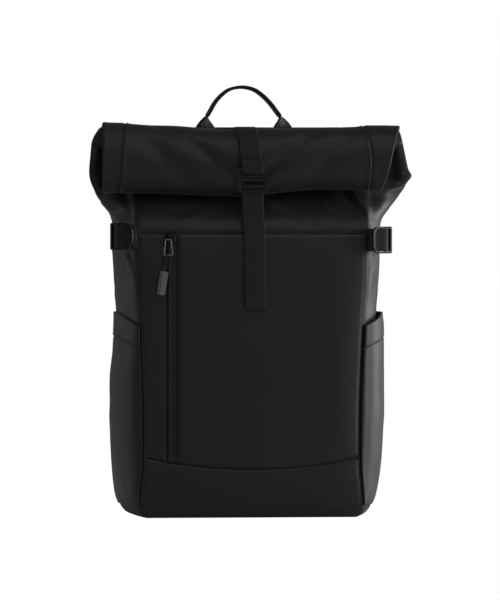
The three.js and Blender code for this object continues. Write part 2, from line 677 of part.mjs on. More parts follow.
function addRoll() {
  const path = rollPath();
  const half = ROLL_WIDTH / 2;
  const line = (name, side) => (mark) => side * half * lookUp(ROLL_LINES, "angle", name, mark.angle);
  const alongBack = (mark, side) => backSeamX(side, rowAt(mark.height)) - side * 3 * SEAM_GAP;
  const onBack = (side, name) => (mark) =>
    mark.angle < ROLL_LINES[0].angle ? alongBack(mark, side) : line(name, side)(mark);
  const join = path.findIndex((p) => p.angle >= ROLL_START);
  const wall = (i) => lerp(CLOTH, ROLL_CLOTH, Math.min(1, Math.max(0, (i - join + 1) / 2)));
  const left = onBack(-1, "seamLeft");
  const right = onBack(1, "seamRight");
  addPiece("rolltop_centre", rolledSheet(path, left, right, wall, () => 0, 6), SHELL_CLOTH);
  const ends = path.slice(join - 1);
  const endWall = (i) => lerp(CLOTH, ROLL_CLOTH, Math.min(1, i / 2));
  const rise = (mark) => {
    const share = Math.min(1, Math.max(0, mark.angle) / END_RISE_FADE);
    return END_RISE * Math.cos((share * Math.PI) / 2);
  };
  for (const side of [-1, 1]) {
    const word = side < 0 ? "Left" : "Right";
    const seam = (mark) => line("seam" + word, side)(mark) + side * SEAM_GAP;
    const fold = line("fold" + word, side);
    addPiece("roll_end_" + word.toLowerCase(), rolledSheet(ends, seam, fold, endWall, rise, 2), SHELL_CLOTH);
  }
}

// Side pockets: a wall that stands off the side panel and is open at its top

function addPocket(side, name) {
  const footRow = rowAt(POCKET_FOOT);
  const mouth = (u) => lerp(POCKET_TOP_FRONT, POCKET_TOP_SIDE, Math.min(1, POCKET_SLOPE * u));
  const onSide = (u, v) => {
    const row = lerp(footRow, rowAt(mouth(u)), v);
    return { row, p: sideWall(side, lerp(POCKET_EDGE, 1 - POCKET_EDGE, u), row) };
  };
  const stand = (u, v) => {
    const round = Math.sin(Math.PI * u) ** POCKET_ROUND;
    const swell = lerp(POCKET_FOOT_GAPE, 1, Math.min(1, v / POCKET_SWELL));
    return SEAM_GAP + CLOTH + POCKET_GAPE * round * swell;
  };
  const away = () => vec(side, 0, 0);
  const bare = (u, v) => onSide(u, v).p;
  const outer = (u, v) => bare(u, v).addScaledVector(surfaceNormal(bare, u, v, away), stand(u, v));
  const inner = (u, v) => bare(u, v).addScaledVector(surfaceNormal(bare, u, v, away), stand(u, v) - CLOTH);
  addPiece(name, slab(outer, inner, evenly(10), evenly(8)), SHELL_CLOTH);
}

// Webbing that runs in one plane: a smooth path given as pairs, thick both sides of the path

function webbingShape(pairs, thick, samples) {
  const curve = new THREE.CatmullRomCurve3(pairs.map(([a, b]) => vec(a, b, 0)), false, "centripetal");
  const [near, far] = [[], []];
  for (let i = 0; i <= samples; i++) {
    const p = curve.getPoint(i / samples);
    const tangent = curve.getTangent(i / samples);
    const side = vec(-tangent.y, tangent.x, 0).normalize();
    near.push(new THREE.Vector2(p.x, p.y).addScaledVector(side, thick / 2));
    far.push(new THREE.Vector2(p.x, p.y).addScaledVector(side, -thick / 2));
  }
  return new THREE.Shape([...near, ...far.reverse()]);
}

// Turns a shape drawn flat into one drawn in the YZ plane with its depth along X.
const ACROSS_X = new THREE.Matrix4().makeBasis(vec(0, 1, 0), vec(0, 0, 1), vec(1, 0, 0));

// Strap whose path lies in the YZ plane and whose width runs along X, leaning as it rises.
function uprightStrap(pairs, width, samples) {
  const shape = webbingShape(pairs, WEBBING_THICK, samples);
  const geometry = new THREE.ExtrudeGeometry(shape, { depth: width, bevelEnabled: false });
  geometry.translate(0, 0, -width / 2);
  geometry.applyMatrix4(ACROSS_X);
  const place = geometry.attributes.position;
  for (let i = 0; i < place.count; i++) {
    const lean = lookUp(STRAP_LEAN, "height", "shift", place.getZ(i) / BODY_HEIGHT);
    place.setX(i, place.getX(i) + STRAP_CENTRE + lean);
  }
  return geometry;
}

const layer = WEBBING_THICK / 2 + STRAP_CLEAR;
const corner = 0.86 * layer; // sideways and upward where webbing turns round a bar
const rollFace = rollCentre.y - ROLL_DEPTH / 2;
const hookRear = rollFace - HOOK_STAND_OFF;
const hookFront = hookRear - HOOK_THICK;
const OVER_ROLL = 62; // degrees from the roll's top to which the strap lies on it

function routePoints(route, lines, levels) {
  return route.map((p) => [lines[p.line] - p.front, levels[p.level] + p.above]);
}

function addFrontStrap() {
  const overRoll = [];
  const path = rollPath().filter((p) => p.angle < OVER_ROLL);
  for (let i = 0; i < path.length; i++) {
    const [a, b] = [path[Math.max(0, i - 1)], path[Math.min(path.length - 1, i + 1)]];
    const out = new THREE.Vector2(b.z - a.z, a.y - b.y).normalize();
    overRoll.push([path[i].y + out.x * layer, path[i].z + out.y * layer]);
  }
  const frontAt = (z) => frontWall(0.5, rowAt(z)).y - layer;
  const between = WEBBING_THICK + STRAP_CLEAR;
  const lines = {
    roll: rollFace - layer,
    hookFront: hookFront - layer,
    frontCorner: hookFront - corner,
    hookMiddle: (hookFront + hookRear) / 2,
    rearCorner: hookRear + corner,
    hookRear: hookRear + layer,
    secondLayer: hookRear + layer + between,
    pocket: frontAt(TOP_SEAM),
    overPocket: frontAt(TOP_SEAM) - between,
  };
  const topBar = HOOK_TOP - HOOK_BAR;
  const middleTop = topBar - HOOK_SLOT;
  const middleLow = middleTop - HOOK_MIDDLE_BAR;
  const hookLow = HOOK_TOP - HOOK_HEIGHT;
  const levels = {
    hookTop: HOOK_TOP,
    topBar,
    topBarCorner: topBar - corner,
    underTopBar: topBar - layer,
    middleTop,
    middleCorner: middleTop + corner,
    overMiddle: middleTop + layer,
    middleLow,
    lowBar: hookLow + HOOK_BAR,
    hookLow,
    topSeam: TOP_SEAM,
  };
  const upper = [...overRoll, ...routePoints(UPPER_ROUTE, lines, levels)];
  addPiece("centre_strap_upper", uprightStrap(upper, WEBBING, 62), WEBBING_CLOTH);
  const freeEnd = TAIL_FALL.map((p) => {
    const z = lerp(TAIL_END, TOP_SEAM, p.rise);
    return [frontAt(z) - p.clear, z];
  });
  const tail = [...routePoints(TAIL_ROUTE, lines, levels), ...freeEnd];
  addPiece("centre_strap_tail", uprightStrap(tail, WEBBING, 66), WEBBING_CLOTH);
  addHook(topBar, middleTop, middleLow, hookLow);
}

function roundedRectangle(target, x0, z0, x1, z1, radius) {
  target.moveTo(x0 + radius, z0);
  target.lineTo(x1 - radius, z0);
  target.absarc(x1 - radius, z0 + radius, radius, -Math.PI / 2, 0, false);
  target.lineTo(x1, z1 - radius);
  target.absarc(x1 - radius, z1 - radius, radius, 0, Math.PI / 2, false);
  target.lineTo(x0 + radius, z1);
  target.absarc(x0 + radius, z1 - radius, radius, Math.PI / 2, Math.PI, false);
  target.lineTo(x0, z0 + radius);
  target.absarc(x0 + radius, z0 + radius, radius, Math.PI, 1.5 * Math.PI, false);
  return target;
}

// Hook buckle: a loop with a middle bar below and an open hook above, drawn in the XZ plane.
function addHook(topBar, middleTop, middleLow, hookLow) {
  const half = HOOK_WIDTH / 2;
  const [radius, bar, chamfer] = [HOOK_RADIUS, HOOK_BAR, HOOK_CHAMFER];
  const lip = topBar - HOOK_LIP;
  const shape = new THREE.Shape();
  shape.moveTo(-half + radius, hookLow);
  shape.lineTo(half - radius, hookLow);
  shape.absarc(half - radius, hookLow + radius, radius, -Math.PI / 2, 0, false);
  shape.lineTo(half, HOOK_TOP - radius);
  shape.absarc(half - radius, HOOK_TOP - radius, radius, 0, Math.PI / 2, false);
  shape.lineTo(-half + 2 * chamfer, HOOK_TOP);
  shape.lineTo(-half, HOOK_TOP - chamfer);
  shape.lineTo(-half, lip);
  shape.lineTo(-half + HOOK_LIP_WIDTH, lip);
  shape.lineTo(-half + bar, topBar);
  shape.lineTo(half - bar - chamfer, topBar);
  shape.lineTo(half - bar, topBar - chamfer);
  shape.lineTo(half - bar, middleTop);
  shape.lineTo(-half + chamfer, middleTop);
  shape.lineTo(-half, middleTop - chamfer);
  shape.lineTo(-half, hookLow + radius);
  shape.absarc(-half + radius, hookLow + radius, radius, Math.PI, 1.5 * Math.PI, false);
  const window = new THREE.Path();
  roundedRectangle(window, -half + bar, hookLow + bar, half - bar, middleLow, radius - bar);
  shape.holes.push(window);
  const options = { depth: HOOK_THICK, bevelEnabled: false, curveSegments: 4 };
  const geometry = new THREE.ExtrudeGeometry(shape, options);
  geometry.rotateX(Math.PI / 2);
  const mesh = addPiece("hook_buckle", geometry, BLACK_METAL);
  mesh.position.set(STRAP_CENTRE, hookRear, 0);
}

// Side straps: webbing from the front seam, woven through a frame, along the side to the back

function sideFramePlace(side, height) {
  const face = radians(SIDE_FRAME_ANGLE);
  const out = new THREE.Vector2(Math.sin(face), -Math.cos(face));
  const along = new THREE.Vector2(Math.cos(face), Math.sin(face));
  let reach = 0;
  for (let i = 0; i <= 20; i++)
    for (const z of [height - SIDE_WEBBING / 2, height, height + SIDE_WEBBING / 2]) {
      const p = sideWall(side, i / 40, rowAt(z));
      reach = Math.max(reach, Math.abs(p.x) * out.x + p.y * out.y);
    }
  const seam = sideWall(side, 0, rowAt(height));
  const start = Math.abs(seam.x) * along.x + seam.y * along.y;
  const rear = reach + SIDE_FRAME_STAND_OFF;
  const centre = out.clone().multiplyScalar(rear + SIDE_FRAME_THICK / 2);
  centre.addScaledVector(along, start + SIDE_FRAME_START + SIDE_FRAME_WIDTH / 2);
  return { out, along, centre };
}

function addSideStrap(side, word, height) {
  const { out, along, centre } = sideFramePlace(side, height);
  const onFrame = (t, offset) => centre.clone().addScaledVector(along, t).addScaledVector(out, offset);
  const past = SIDE_FRAME_THICK / 2 + layer;
  const half = (SIDE_FRAME_WIDTH - SIDE_FRAME_BAR) / 2;
  const bars = { round: -half, middle: SIDE_FRAME_MIDDLE, straight: half };
  const pathAt = (z) => {
    const row = rowAt(z);
    const wall = (u) => sideWall(side, u, row);
    const offWall = (share) => {
      const step = 0.01;
      const a = wall(Math.max(0, share - step));
      const b = wall(Math.min(1, share + step));
      const normal = new THREE.Vector2(b.y - a.y, -side * (b.x - a.x)).normalize();
      const p = wall(share);
      return new THREE.Vector2(Math.abs(p.x), p.y).addScaledVector(normal, layer + SEAM_GAP);
    };
    const start = wall(0);
    const seam = new THREE.Vector2(Math.abs(start.x) + 2 * SEAM_GAP, start.y - layer);
    const inFrame = FRAME_ROUTE.map((p) => onFrame(bars[p.bar] + p.along, p.face * past + p.ease));
    return [seam, ...inFrame, ...STRAP_ON_SIDE.map(offWall)];
  };
  const curves = new Map();
  const curveAt = (z) => {
    if (!curves.has(z)) {
      const points = pathAt(z).map((p) => vec(side * p.x, p.y, z));
      curves.set(z, new THREE.CatmullRomCurve3(points, false, "centripetal"));
    }
    return curves.get(z);
  };
  const face = (offset) => (u, v) => {
    const curve = curveAt(height + (v - 0.5) * SIDE_WEBBING);
    const p = curve.getPoint(u);
    const tangent = curve.getTangent(u);
    return p.addScaledVector(vec(tangent.y, -tangent.x, 0).normalize(), side * offset);
  };
  const strap = slab(face(WEBBING_THICK / 2), face(-WEBBING_THICK / 2), evenly(40), [0, 1]);
  addPiece("side_strap_" + word, strap, WEBBING_CLOTH);
  addSideFrame(side, word, height, centre);
}

// D-shaped frame with a middle bar; its round side faces the front seam.
function addSideFrame(side, word, height, centre) {
  const halfWidth = SIDE_FRAME_WIDTH / 2;
  const halfHeight = SIDE_FRAME_HEIGHT / 2;
  const [bar, middle] = [SIDE_FRAME_BAR, SIDE_FRAME_MIDDLE];
  const inner = SIDE_FRAME_ROUND - bar;
  const shape = new THREE.Shape();
  dOutline(shape, halfWidth, halfHeight);
  const [edge, rim] = [-halfWidth + bar, halfHeight - bar];
  const roundWindow = new THREE.Path();
  roundWindow.moveTo(middle - bar / 2, -rim);
  roundWindow.lineTo(middle - bar / 2, rim);
  roundWindow.lineTo(edge + inner, rim);
  roundWindow.absarc(edge + inner, rim - inner, inner, Math.PI / 2, Math.PI, false);
  roundWindow.lineTo(edge, -rim + inner);
  roundWindow.absarc(edge + inner, -rim + inner, inner, Math.PI, 1.5 * Math.PI, false);
  const straightWindow = new THREE.Path();
  const straightEnd = rim - SIDE_FRAME_BAR / 10;
  straightWindow.moveTo(middle + bar / 2, -straightEnd);
  straightWindow.lineTo(halfWidth - bar, -straightEnd);
  straightWindow.lineTo(halfWidth - bar, straightEnd);
  straightWindow.lineTo(middle + bar / 2, straightEnd);
  shape.holes.push(roundWindow, straightWindow);
  const options = { depth: SIDE_FRAME_THICK, bevelEnabled: false, curveSegments: 4 };
  const geometry = new THREE.ExtrudeGeometry(shape, options);
  geometry.translate(0, 0, -SIDE_FRAME_THICK / 2);
  geometry.rotateX(Math.PI / 2);
  if (side < 0) geometry.rotateZ(Math.PI);
  geometry.rotateZ(side < 0 ? -radians(SIDE_FRAME_ANGLE) : radians(SIDE_FRAME_ANGLE));
  const mesh = addPiece("side_buckle_" + word, geometry, BLACK_METAL);
  mesh.position.set(side * centre.x, centre.y, height);
}

function dOutline(shape, halfWidth, halfHeight) {
  const [round, small] = [SIDE_FRAME_ROUND, SIDE_FRAME_SMALL];
  shape.moveTo(halfWidth - small, -halfHeight);
  shape.absarc(halfWidth - small, -halfHeight + small, small, -Math.PI / 2, 0, false);
  shape.lineTo(halfWidth, halfHeight - small);
  shape.absarc(halfWidth - small, halfHeight - small, small, 0, Math.PI / 2, false);
  shape.lineTo(-halfWidth + round, halfHeight);
  shape.absarc(-halfWidth + round, halfHeight - round, round, Math.PI / 2, Math.PI, false);
  shape.lineTo(-halfWidth, -halfHeight + round);
  shape.absarc(-halfWidth + round, -halfHeight + round, round, Math.PI, 1.5 * Math.PI, false);
}

// Zip slider, its ring, cord and grip, hanging one from the other in front of the zip

function addZipPull() {
  const behind = rowAt(TOP_SEAM - SLIDER_HEIGHT);
  const face = frontWall(frontShare(ZIP_CENTRE, behind), behind).y + ZIP_RECESS;
  const sliderRear = face - 2 * SEAM_GAP;
  const block = new THREE.Shape();
  roundedRectangle(block, -SLIDER_WIDTH / 2, -SLIDER_HEIGHT, SLIDER_WIDTH / 2, 0, SLIDER_RADIUS);
  const options = { depth: SLIDER_THICK, bevelEnabled: false, curveSegments: 4 };
  const slider = new THREE.ExtrudeGeometry(block, options);
  slider.rotateX(Math.PI / 2);
  const sliderMesh = addPiece("zip_slider", slider, BLACK_METAL);
  sliderMesh.position.set(ZIP_CENTRE, sliderRear, TOP_SEAM - 2 * SEAM_GAP);

  const ringY = sliderRear - SLIDER_THICK - RING_WIRE / 2 - SEAM_GAP;
  const low = RING_TOP - RING_HEIGHT;
  const [foot, crown] = [RING_WIDTH / 2, (RING_TAPER * RING_WIDTH) / 2];
  const ring = new THREE.Shape();
  ring.moveTo(-foot, low);
  ring.lineTo(foot, low);
  ring.lineTo(crown, RING_TOP);
  ring.lineTo(-crown, RING_TOP);
  const hole = new THREE.Path();
  const slanted = 1.3 * RING_WIRE;
  hole.moveTo(-foot + slanted, low + RING_WIRE);
  hole.lineTo(foot - slanted, low + RING_WIRE);
  hole.lineTo(crown - RING_WIRE, RING_TOP - RING_WIRE);
  hole.lineTo(-crown + RING_WIRE, RING_TOP - RING_WIRE);
  ring.holes.push(hole);
  const ringGeometry = new THREE.ExtrudeGeometry(ring, { depth: RING_WIRE, bevelEnabled: false });
  ringGeometry.translate(0, 0, -RING_WIRE / 2);
  ringGeometry.rotateX(Math.PI / 2);
  addPiece("pull_ring", ringGeometry, BLACK_METAL).position.set(ZIP_CENTRE + RING_SHIFT, ringY, 0);

  const cordTop = low - SEAM_GAP;
  const lean = radians(GRIP_LEAN);
  const cordX = ZIP_CENTRE + CORD_SHIFT;
  const cordEnd = vec(cordX - CORD_LENGTH * Math.sin(lean), ringY, cordTop - CORD_LENGTH * Math.cos(lean));
  const cordPath = new THREE.LineCurve3(vec(cordX, ringY, cordTop), cordEnd);
  const round = new THREE.Shape();
  round.absarc(0, 0, CORD_DIAMETER / 2, 0, 2 * Math.PI, false);
  const cord = new THREE.ExtrudeGeometry(round, { steps: 2, curveSegments: 8, extrudePath: cordPath });
  addPiece("pull_cord", cord, WEBBING_CLOTH);

  const grip = new THREE.Shape();
  const [side, chamfer] = [GRIP_WIDTH / 2, GRIP_CHAMFER];
  grip.moveTo(-side + chamfer, -GRIP_LENGTH);
  grip.lineTo(side - chamfer, -GRIP_LENGTH);
  grip.lineTo(side, -GRIP_LENGTH + chamfer);
  grip.lineTo(side, -chamfer / 2);
  grip.lineTo(side - chamfer / 2, 0);
  grip.lineTo(-side + chamfer / 2, 0);
  grip.lineTo(-side, -chamfer / 2);
  grip.lineTo(-side, -GRIP_LENGTH + chamfer);
  const gripGeometry = new THREE.ExtrudeGeometry(grip, { depth: GRIP_THICK, bevelEnabled: false });
  gripGeometry.translate(0, 0, -GRIP_THICK / 2);
  gripGeometry.rotateX(Math.PI / 2);
  gripGeometry.rotateY(lean);
  const gripMesh = addPiece("pull_grip", gripGeometry, GREY_RUBBER);
  const next = SEAM_GAP * 1.2;
  gripMesh.position.set(cordEnd.x - next * Math.sin(lean), ringY, cordEnd.z - next * Math.cos(lean));
}

// Grab handle: a ribbon whose broad side lies level at its top and turns flat to the back below

function addHandle() {
  const top = HANDLE_RISE - HANDLE_THICK / 2;
  const sewnEnd = lerp(HANDLE_FOOT, top, HANDLE_ARM[0].rise);
  const backY = backLine(rowAt(sewnEnd)) + HANDLE_THICK / 2;
  const half = HANDLE_ARM.map((p) => [HANDLE_SPAN / 2 + p.out, lerp(HANDLE_FOOT, top, p.rise)]);
  const points = [
    ...half.map(([x, z]) => vec(-x, backY, z)),
    vec(0, backY, top),
    ...half.reverse().map(([x, z]) => vec(x, backY, z)),
  ];
  const curve = new THREE.CatmullRomCurve3(points, false, "centripetal");
  const frame = (u) => {
    const tangent = curve.getTangent(u);
    const side = Math.sign(0.5 - u) || 1;
    const turn = THREE.MathUtils.smoothstep(Math.min(u, 1 - u), ...HANDLE_TURN);
    const angle = (turn * Math.PI) / 2;
    const wide = vec(tangent.z, 0, -tangent.x).multiplyScalar(Math.cos(angle));
    wide.addScaledVector(vec(0, side, 0), Math.sin(angle)).multiplyScalar(side);
    return { wide: wide.normalize(), thick: tangent.clone().cross(wide).normalize() };
  };
  const face = (offset) => (u, v) => {
    const { wide, thick } = frame(v);
    const p = curve.getPoint(v);
    return p.addScaledVector(wide, (u - 0.5) * HANDLE_WIDTH).addScaledVector(thick, offset);
  };
  const ribbon = slab(face(HANDLE_THICK / 2), face(-HANDLE_THICK / 2), evenly(2), evenly(36));
  addPiece("grab_handle", ribbon, WEBBING_CLOTH);
}

// Shoulder straps with their lower webbing and ladder buckles on the wearer's side

function addShoulderStrap(side, word) {
  const backFace = (z) => backWall(0.5 + (side * 0.5 * SHOULDER_STRAP_SPREAD) / BACK_WIDTH, rowAt(z)).y;
  const rest = 2 * SEAM_GAP;
  const centreAt = (t) => {
    const z = lerp(SHOULDER_STRAP_TOP, SHOULDER_STRAP_END, t);
    const bow = SHOULDER_STRAP_BOW * Math.sin(Math.PI * t ** BOW_SHIFT) ** BOW_POWER;
    const splay = SHOULDER_STRAP_SPLAY * THREE.MathUtils.smoothstep(t, 0, 1);
    return vec(side * (SHOULDER_STRAP_SPREAD + splay), backFace(z) + rest + bow, z);
  };
  const surface = (u, v) => {
    const narrow = lerp(1, STRAP_NARROW, THREE.MathUtils.smoothstep(v, 0.5, 1));
    const p = centreAt(v);
    p.x += (u - 0.5) * SHOULDER_STRAP_WIDTH * narrow;
    return p;
  };
  const thickAt = (u) => SHOULDER_STRAP_THICK * lerp(STRAP_EDGE, 1, Math.sin(Math.PI * u) ** 0.5);
  const outer = (u, v) => {
    const normal = surfaceNormal(surface, 0.5, v, () => vec(0, 1, 0));
    return surface(u, v).addScaledVector(normal, thickAt(u));
  };
  addPiece("shoulder_strap_" + word, slab(outer, surface, evenly(4), evenly(12)), BACK_MESH);

  const strapEnd = centreAt(1);
  const ladderTop = SHOULDER_STRAP_END - rest;
  const ladderY = strapEnd.y + SHOULDER_STRAP_THICK / 2;
  const slot = LOWER_WEBBING / 2 + SLOT_PLAY;
  const ladder = new THREE.Shape();
  const halfLadder = LOWER_WEBBING / 2 + LADDER_RIM;
  roundedRectangle(ladder, -halfLadder, -LADDER_HEIGHT, halfLadder, 0, LADDER_RADIUS);
  for (const { top, foot } of LADDER_SLOTS)
    ladder.holes.push(roundedRectangle(new THREE.Path(), -slot, -foot, slot, -top, SLOT_PLAY));
  const options = { depth: LADDER_THICK, bevelEnabled: false, curveSegments: 2 };
  const ladderGeometry = new THREE.ExtrudeGeometry(ladder, options);
  ladderGeometry.translate(0, 0, -LADDER_THICK / 2);
  ladderGeometry.rotateX(Math.PI / 2);
  const ladderMesh = addPiece("ladder_buckle_" + word, ladderGeometry, BLACK_PLASTIC);
  ladderMesh.position.set(strapEnd.x, ladderY, ladderTop);

  const [behind, outside] = [ladderY - LADDER_THICK / 2, ladderY + LADDER_THICK / 2];
  const slotFloor = ladderTop - LADDER_SLOTS[0].foot;
  const lines = {
    back: backFace(LOWER_ANCHOR) + layer,
    behind: behind - layer,
    behindCorner: behind - corner,
    ladder: ladderY,
    outerCorner: outside + corner,
    outer: outside + layer,
  };
  const levels = {
    anchor: LOWER_ANCHOR,
    ladderLow: ladderTop - LADDER_HEIGHT,
    slot: slotFloor,
    slotCorner: slotFloor + corner,
    overSlot: slotFloor + layer,
  };
  const shape = webbingShape(routePoints(LOWER_ROUTE, lines, levels), WEBBING_THICK, 36);
  const webbing = new THREE.ExtrudeGeometry(shape, { depth: LOWER_WEBBING, bevelEnabled: false });
  webbing.translate(0, 0, -LOWER_WEBBING / 2);
  webbing.applyMatrix4(ACROSS_X);
  addPiece("lower_webbing_" + word, webbing, WEBBING_CLOTH).position.set(strapEnd.x, 0, 0);
}

addFront();
addSidePanel(-1, "side_panel_left");
addSidePanel(1, "side_panel_right");
addBackAndBottom();
addRoll();
addPocket(-1, "side_pocket_left");
addPocket(1, "side_pocket_right");
addFrontStrap();
addSideStrap(-1, "left", SIDE_STRAP_LEFT);
addSideStrap(1, "right", SIDE_STRAP_RIGHT);
addZipPull();
addHandle();
addShoulderStrap(-1, "left");
addShoulderStrap(1, "right");

export default bag;
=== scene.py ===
"""Looks of a rolltop backpack, in metres, in the frame of its CAD: front -Y, up +Z."""

import math

import bmesh
import bpy
import numpy as np
from bpy.props import FloatProperty, FloatVectorProperty, PointerProperty
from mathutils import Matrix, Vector, noise


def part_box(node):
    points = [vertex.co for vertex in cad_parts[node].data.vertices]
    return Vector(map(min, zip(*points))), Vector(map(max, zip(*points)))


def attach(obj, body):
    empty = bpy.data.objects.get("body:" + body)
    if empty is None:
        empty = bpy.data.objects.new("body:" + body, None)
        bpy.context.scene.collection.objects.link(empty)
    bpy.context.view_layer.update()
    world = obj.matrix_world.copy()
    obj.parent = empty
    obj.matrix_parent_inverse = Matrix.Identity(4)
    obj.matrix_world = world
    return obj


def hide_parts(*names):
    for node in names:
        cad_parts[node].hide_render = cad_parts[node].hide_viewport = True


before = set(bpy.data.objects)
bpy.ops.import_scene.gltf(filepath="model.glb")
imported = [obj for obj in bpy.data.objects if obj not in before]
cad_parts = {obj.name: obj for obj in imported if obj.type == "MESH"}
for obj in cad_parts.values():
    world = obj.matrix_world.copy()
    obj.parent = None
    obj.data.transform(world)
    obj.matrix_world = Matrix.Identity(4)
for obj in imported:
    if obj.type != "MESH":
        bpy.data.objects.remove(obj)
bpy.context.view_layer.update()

bl_info = {
    "name": "Rolltop Backpack",
    "version": (1, 0, 0),
    "blender": (4, 5, 0),
    "location": "View3D > Sidebar > Backpack",
    "description": "Builds the looks of a coated-cloth rolltop backpack",
    "category": "Object",
}

MM = 0.001

# Sizes in millimetres, as the CAD solids have them
BODY_HEIGHT = 417
BODY_WIDTH = 284
BODY_DEPTH = 134
FRONT_WIDTH = 231
BACK_WIDTH = 256
FRONT_CROWN = 5
BACK_CROWN = 3
CLOTH = 1.6
TOP_SEAM = 300
BASE_SEAM = 52
BASE_SEAM_RISE = 13
BACK_SEAM = 381
ROLL_WIDTH = 315
ROLL_HEIGHT = 76
ROLL_DEPTH = 52
ROLL_OVERHANG = 6
ROLL_TURNS = 1.62
ROLL_PITCH = 6.6
ROLL_JOIN = 0.9  # gap between the back and the rolled sheet
ROLL_START = -14  # degrees from its top, where the rolled sheet leaves the back
ROLL_STEP = 18  # degrees between the marks of its line
ON_BACK = -90  # stands for an angle where the sheet runs up the back
POCKET_TOP_FRONT = 203
POCKET_TOP_SIDE = 216
POCKET_FOOT = 13
ZIP_CENTRE = -86.2
ZIP_WIDTH = 11
WEBBING = 25
SIDE_WEBBING = 24
WEBBING_THICK = 1.5
STRAP_CLEAR = 0.35
STRAP_CENTRE = -1.5
TAIL_END = 220
HOOK_TOP = 368.5
HOOK_HEIGHT = 26
HOOK_BAR = 3
HOOK_THICK = 2.4
HOOK_STAND_OFF = 4.6
RING_WIRE = 0.8
RING_BEND = 1.6
SIDE_FRAME_THICK = 2.5
SIDE_FRAME_CLEAR = 3.1
SIDE_FRAME_PLACE = 15.5
SEAM_GAP = 0.3
HANDLE_TOP = 458.5
HANDLE_FOOT = 384
HANDLE_HALF = 40
HANDLE_THICK = 3.6
SHOULDER_TOP = 362
SHOULDER_FOOT = 150
SHOULDER_APART = 52
SHOULDER_BOW = 30
SHOULDER_SPLAY = 22

# Sizes of the looks alone, in millimetres
SIDE_SLACK = 0.55  # share of the side walls' roundness in front; not a length
SIDE_GIRTH = 95  # along a side wall from seam to seam
POCKET_HEM = 25.5
POCKET_SLOPE = 2.4  # how soon a pocket's mouth reaches its height at the side
UPPER_STRAP_WIDTH = 21.8
LOWER_STRAP_WIDTH = 23
SIDE_STRAP_HEIGHT = {-1: 297, 1: 293}

SIDES = ((-1, "left"), (1, "right"))


def table(columns, rows):
    names = columns.split()
    return {name: np.array([row[i] for row in rows], dtype=float) for i, name in enumerate(names)}


# Sections of the body from the base up, as shares of the sizes above
SECTIONS = table(
    "height front back widest seamLeft seamRight sideLeft sideRight backSeamLeft backSeamRight crown round",
    [
        (0.0, 0.83, 0.8, 0.07, 0.965, 0.96, 0.8, 0.79, 0.87, 0.87, 0, 1),
        (0.0035, 0.92, 0.89, 0.07, 0.995, 0.97, 0.865, 0.855, 0.925, 0.925, 0.05, 1),
        (0.012, 0.97, 0.94, 0.07, 1.02, 0.995, 0.915, 0.905, 0.955, 0.955, 0.15, 1),
        (0.03, 1.0, 0.975, 0.07, 1.035, 1.01, 0.95, 0.94, 0.975, 0.975, 0.3, 1),
        (0.064, 1.01, 0.985, 0.07, 1.03, 1.005, 0.971, 0.962, 0.985, 0.985, 0.5, 1),
        (0.15, 1.015, 0.985, 0.07, 1.0, 0.98, 0.974, 0.974, 1.0, 1.0, 0.8, 1),
        (0.31, 1.015, 0.985, 0.07, 1.004, 0.985, 0.972, 0.972, 1.0, 1.0, 1.0, 1),
        (0.49, 1.015, 0.985, 0.07, 1.028, 1.015, 0.974, 0.974, 1.0, 1.0, 1.0, 1),
        (0.6, 1.01, 0.985, 0.06, 1.042, 1.042, 1.002, 1.0, 1.005, 1.005, 0.9, 1),
        (0.695, 1.0, 0.985, 0.05, 1.05, 1.05, 1.008, 1.004, 1.01, 1.01, 0.75, 0.97),
        (0.748, 0.95, 0.985, 0.03, 1.06, 1.064, 1.01, 1.012, 1.03, 1.03, 0.6, 0.85),
        (0.783, 0.74, 0.985, 0.02, 1.05, 1.05, 1.06, 1.075, 1.06, 1.06, 0.4, 0.65),
        (0.818, 0.45, 0.985, 0, 1.02, 0.97, 1.14, 1.15, 1.09, 1.09, 0.15, 0.45),
        (0.863, 0.31, 0.985, 0, 1.0, 0.945, 1.19, 1.222, 1.12, 1.12, 0, 0.22),
        (0.911, 0.25, 0.975, 0.02, 1.02, 0.965, 1.183, 1.205, 1.12, 1.12, 0, 0.22),
        (0.95, 0.27, 0.66, 0.1, 1.06, 0.995, 1.168, 1.185, 1.1, 1.06, 0, 0.2),
        (0.974, 0.37, 0.2, -0.08, 1.1, 1.02, 1.14, 1.155, 1.07, 0.99, 0, 0.15),
        (0.985, 0.525, -0.24, -0.37, 1.13, 1.035, 1.112, 1.118, 1.03, 0.935, 0, 0.1),
    ],
)
TOP_ROW = len(SECTIONS["height"]) - 1

# Seams and folded ends of the roll by the angle turned from its top, as shares of half ROLL_WIDTH
ROLL_LINES = table(
    "angle seamLeft seamRight foldLeft foldRight",
    [
        (-86, 0.832, 0.755, 0.995, 0.995),
        (0, 0.844, 0.748, 1.0, 1.003),
        (50, 0.862, 0.775, 1.004, 0.97),
        (90, 0.882, 0.796, 1.008, 0.93),
        (150, 0.887, 0.79, 1.003, 0.885),
        (180, 0.887, 0.789, 0.99, 0.87),
        (270, 0.887, 0.789, 0.955, 0.85),
        (600, 0.887, 0.789, 0.95, 0.84),
    ],
)

# Uneven lie of the roll by the place across it as a share of half ROLL_WIDTH: how far its top drops
# and its underside lifts, in millimetres
ROLL_LIE = table(
    "across drop lift",
    [
        (-1.0, 0.2, 1.5), (-0.845, 0.7, 1.5), (-0.8, 1.4, 1.4), (-0.47, 4.0, 0), (-0.35, 5.6, -1),
        (-0.23, 6.8, -2), (-0.1, 6.2, -2.5), (0.04, 6.0, -2.2), (0.16, 5.5, 0.4), (0.29, 5.3, 3),
        (0.44, 5.1, 5.5), (0.6, 5.0, 5.5), (0.74, 3.6, 4), (0.77, 2.8, 3.8), (1.0, 3.8, 3),
    ],
)

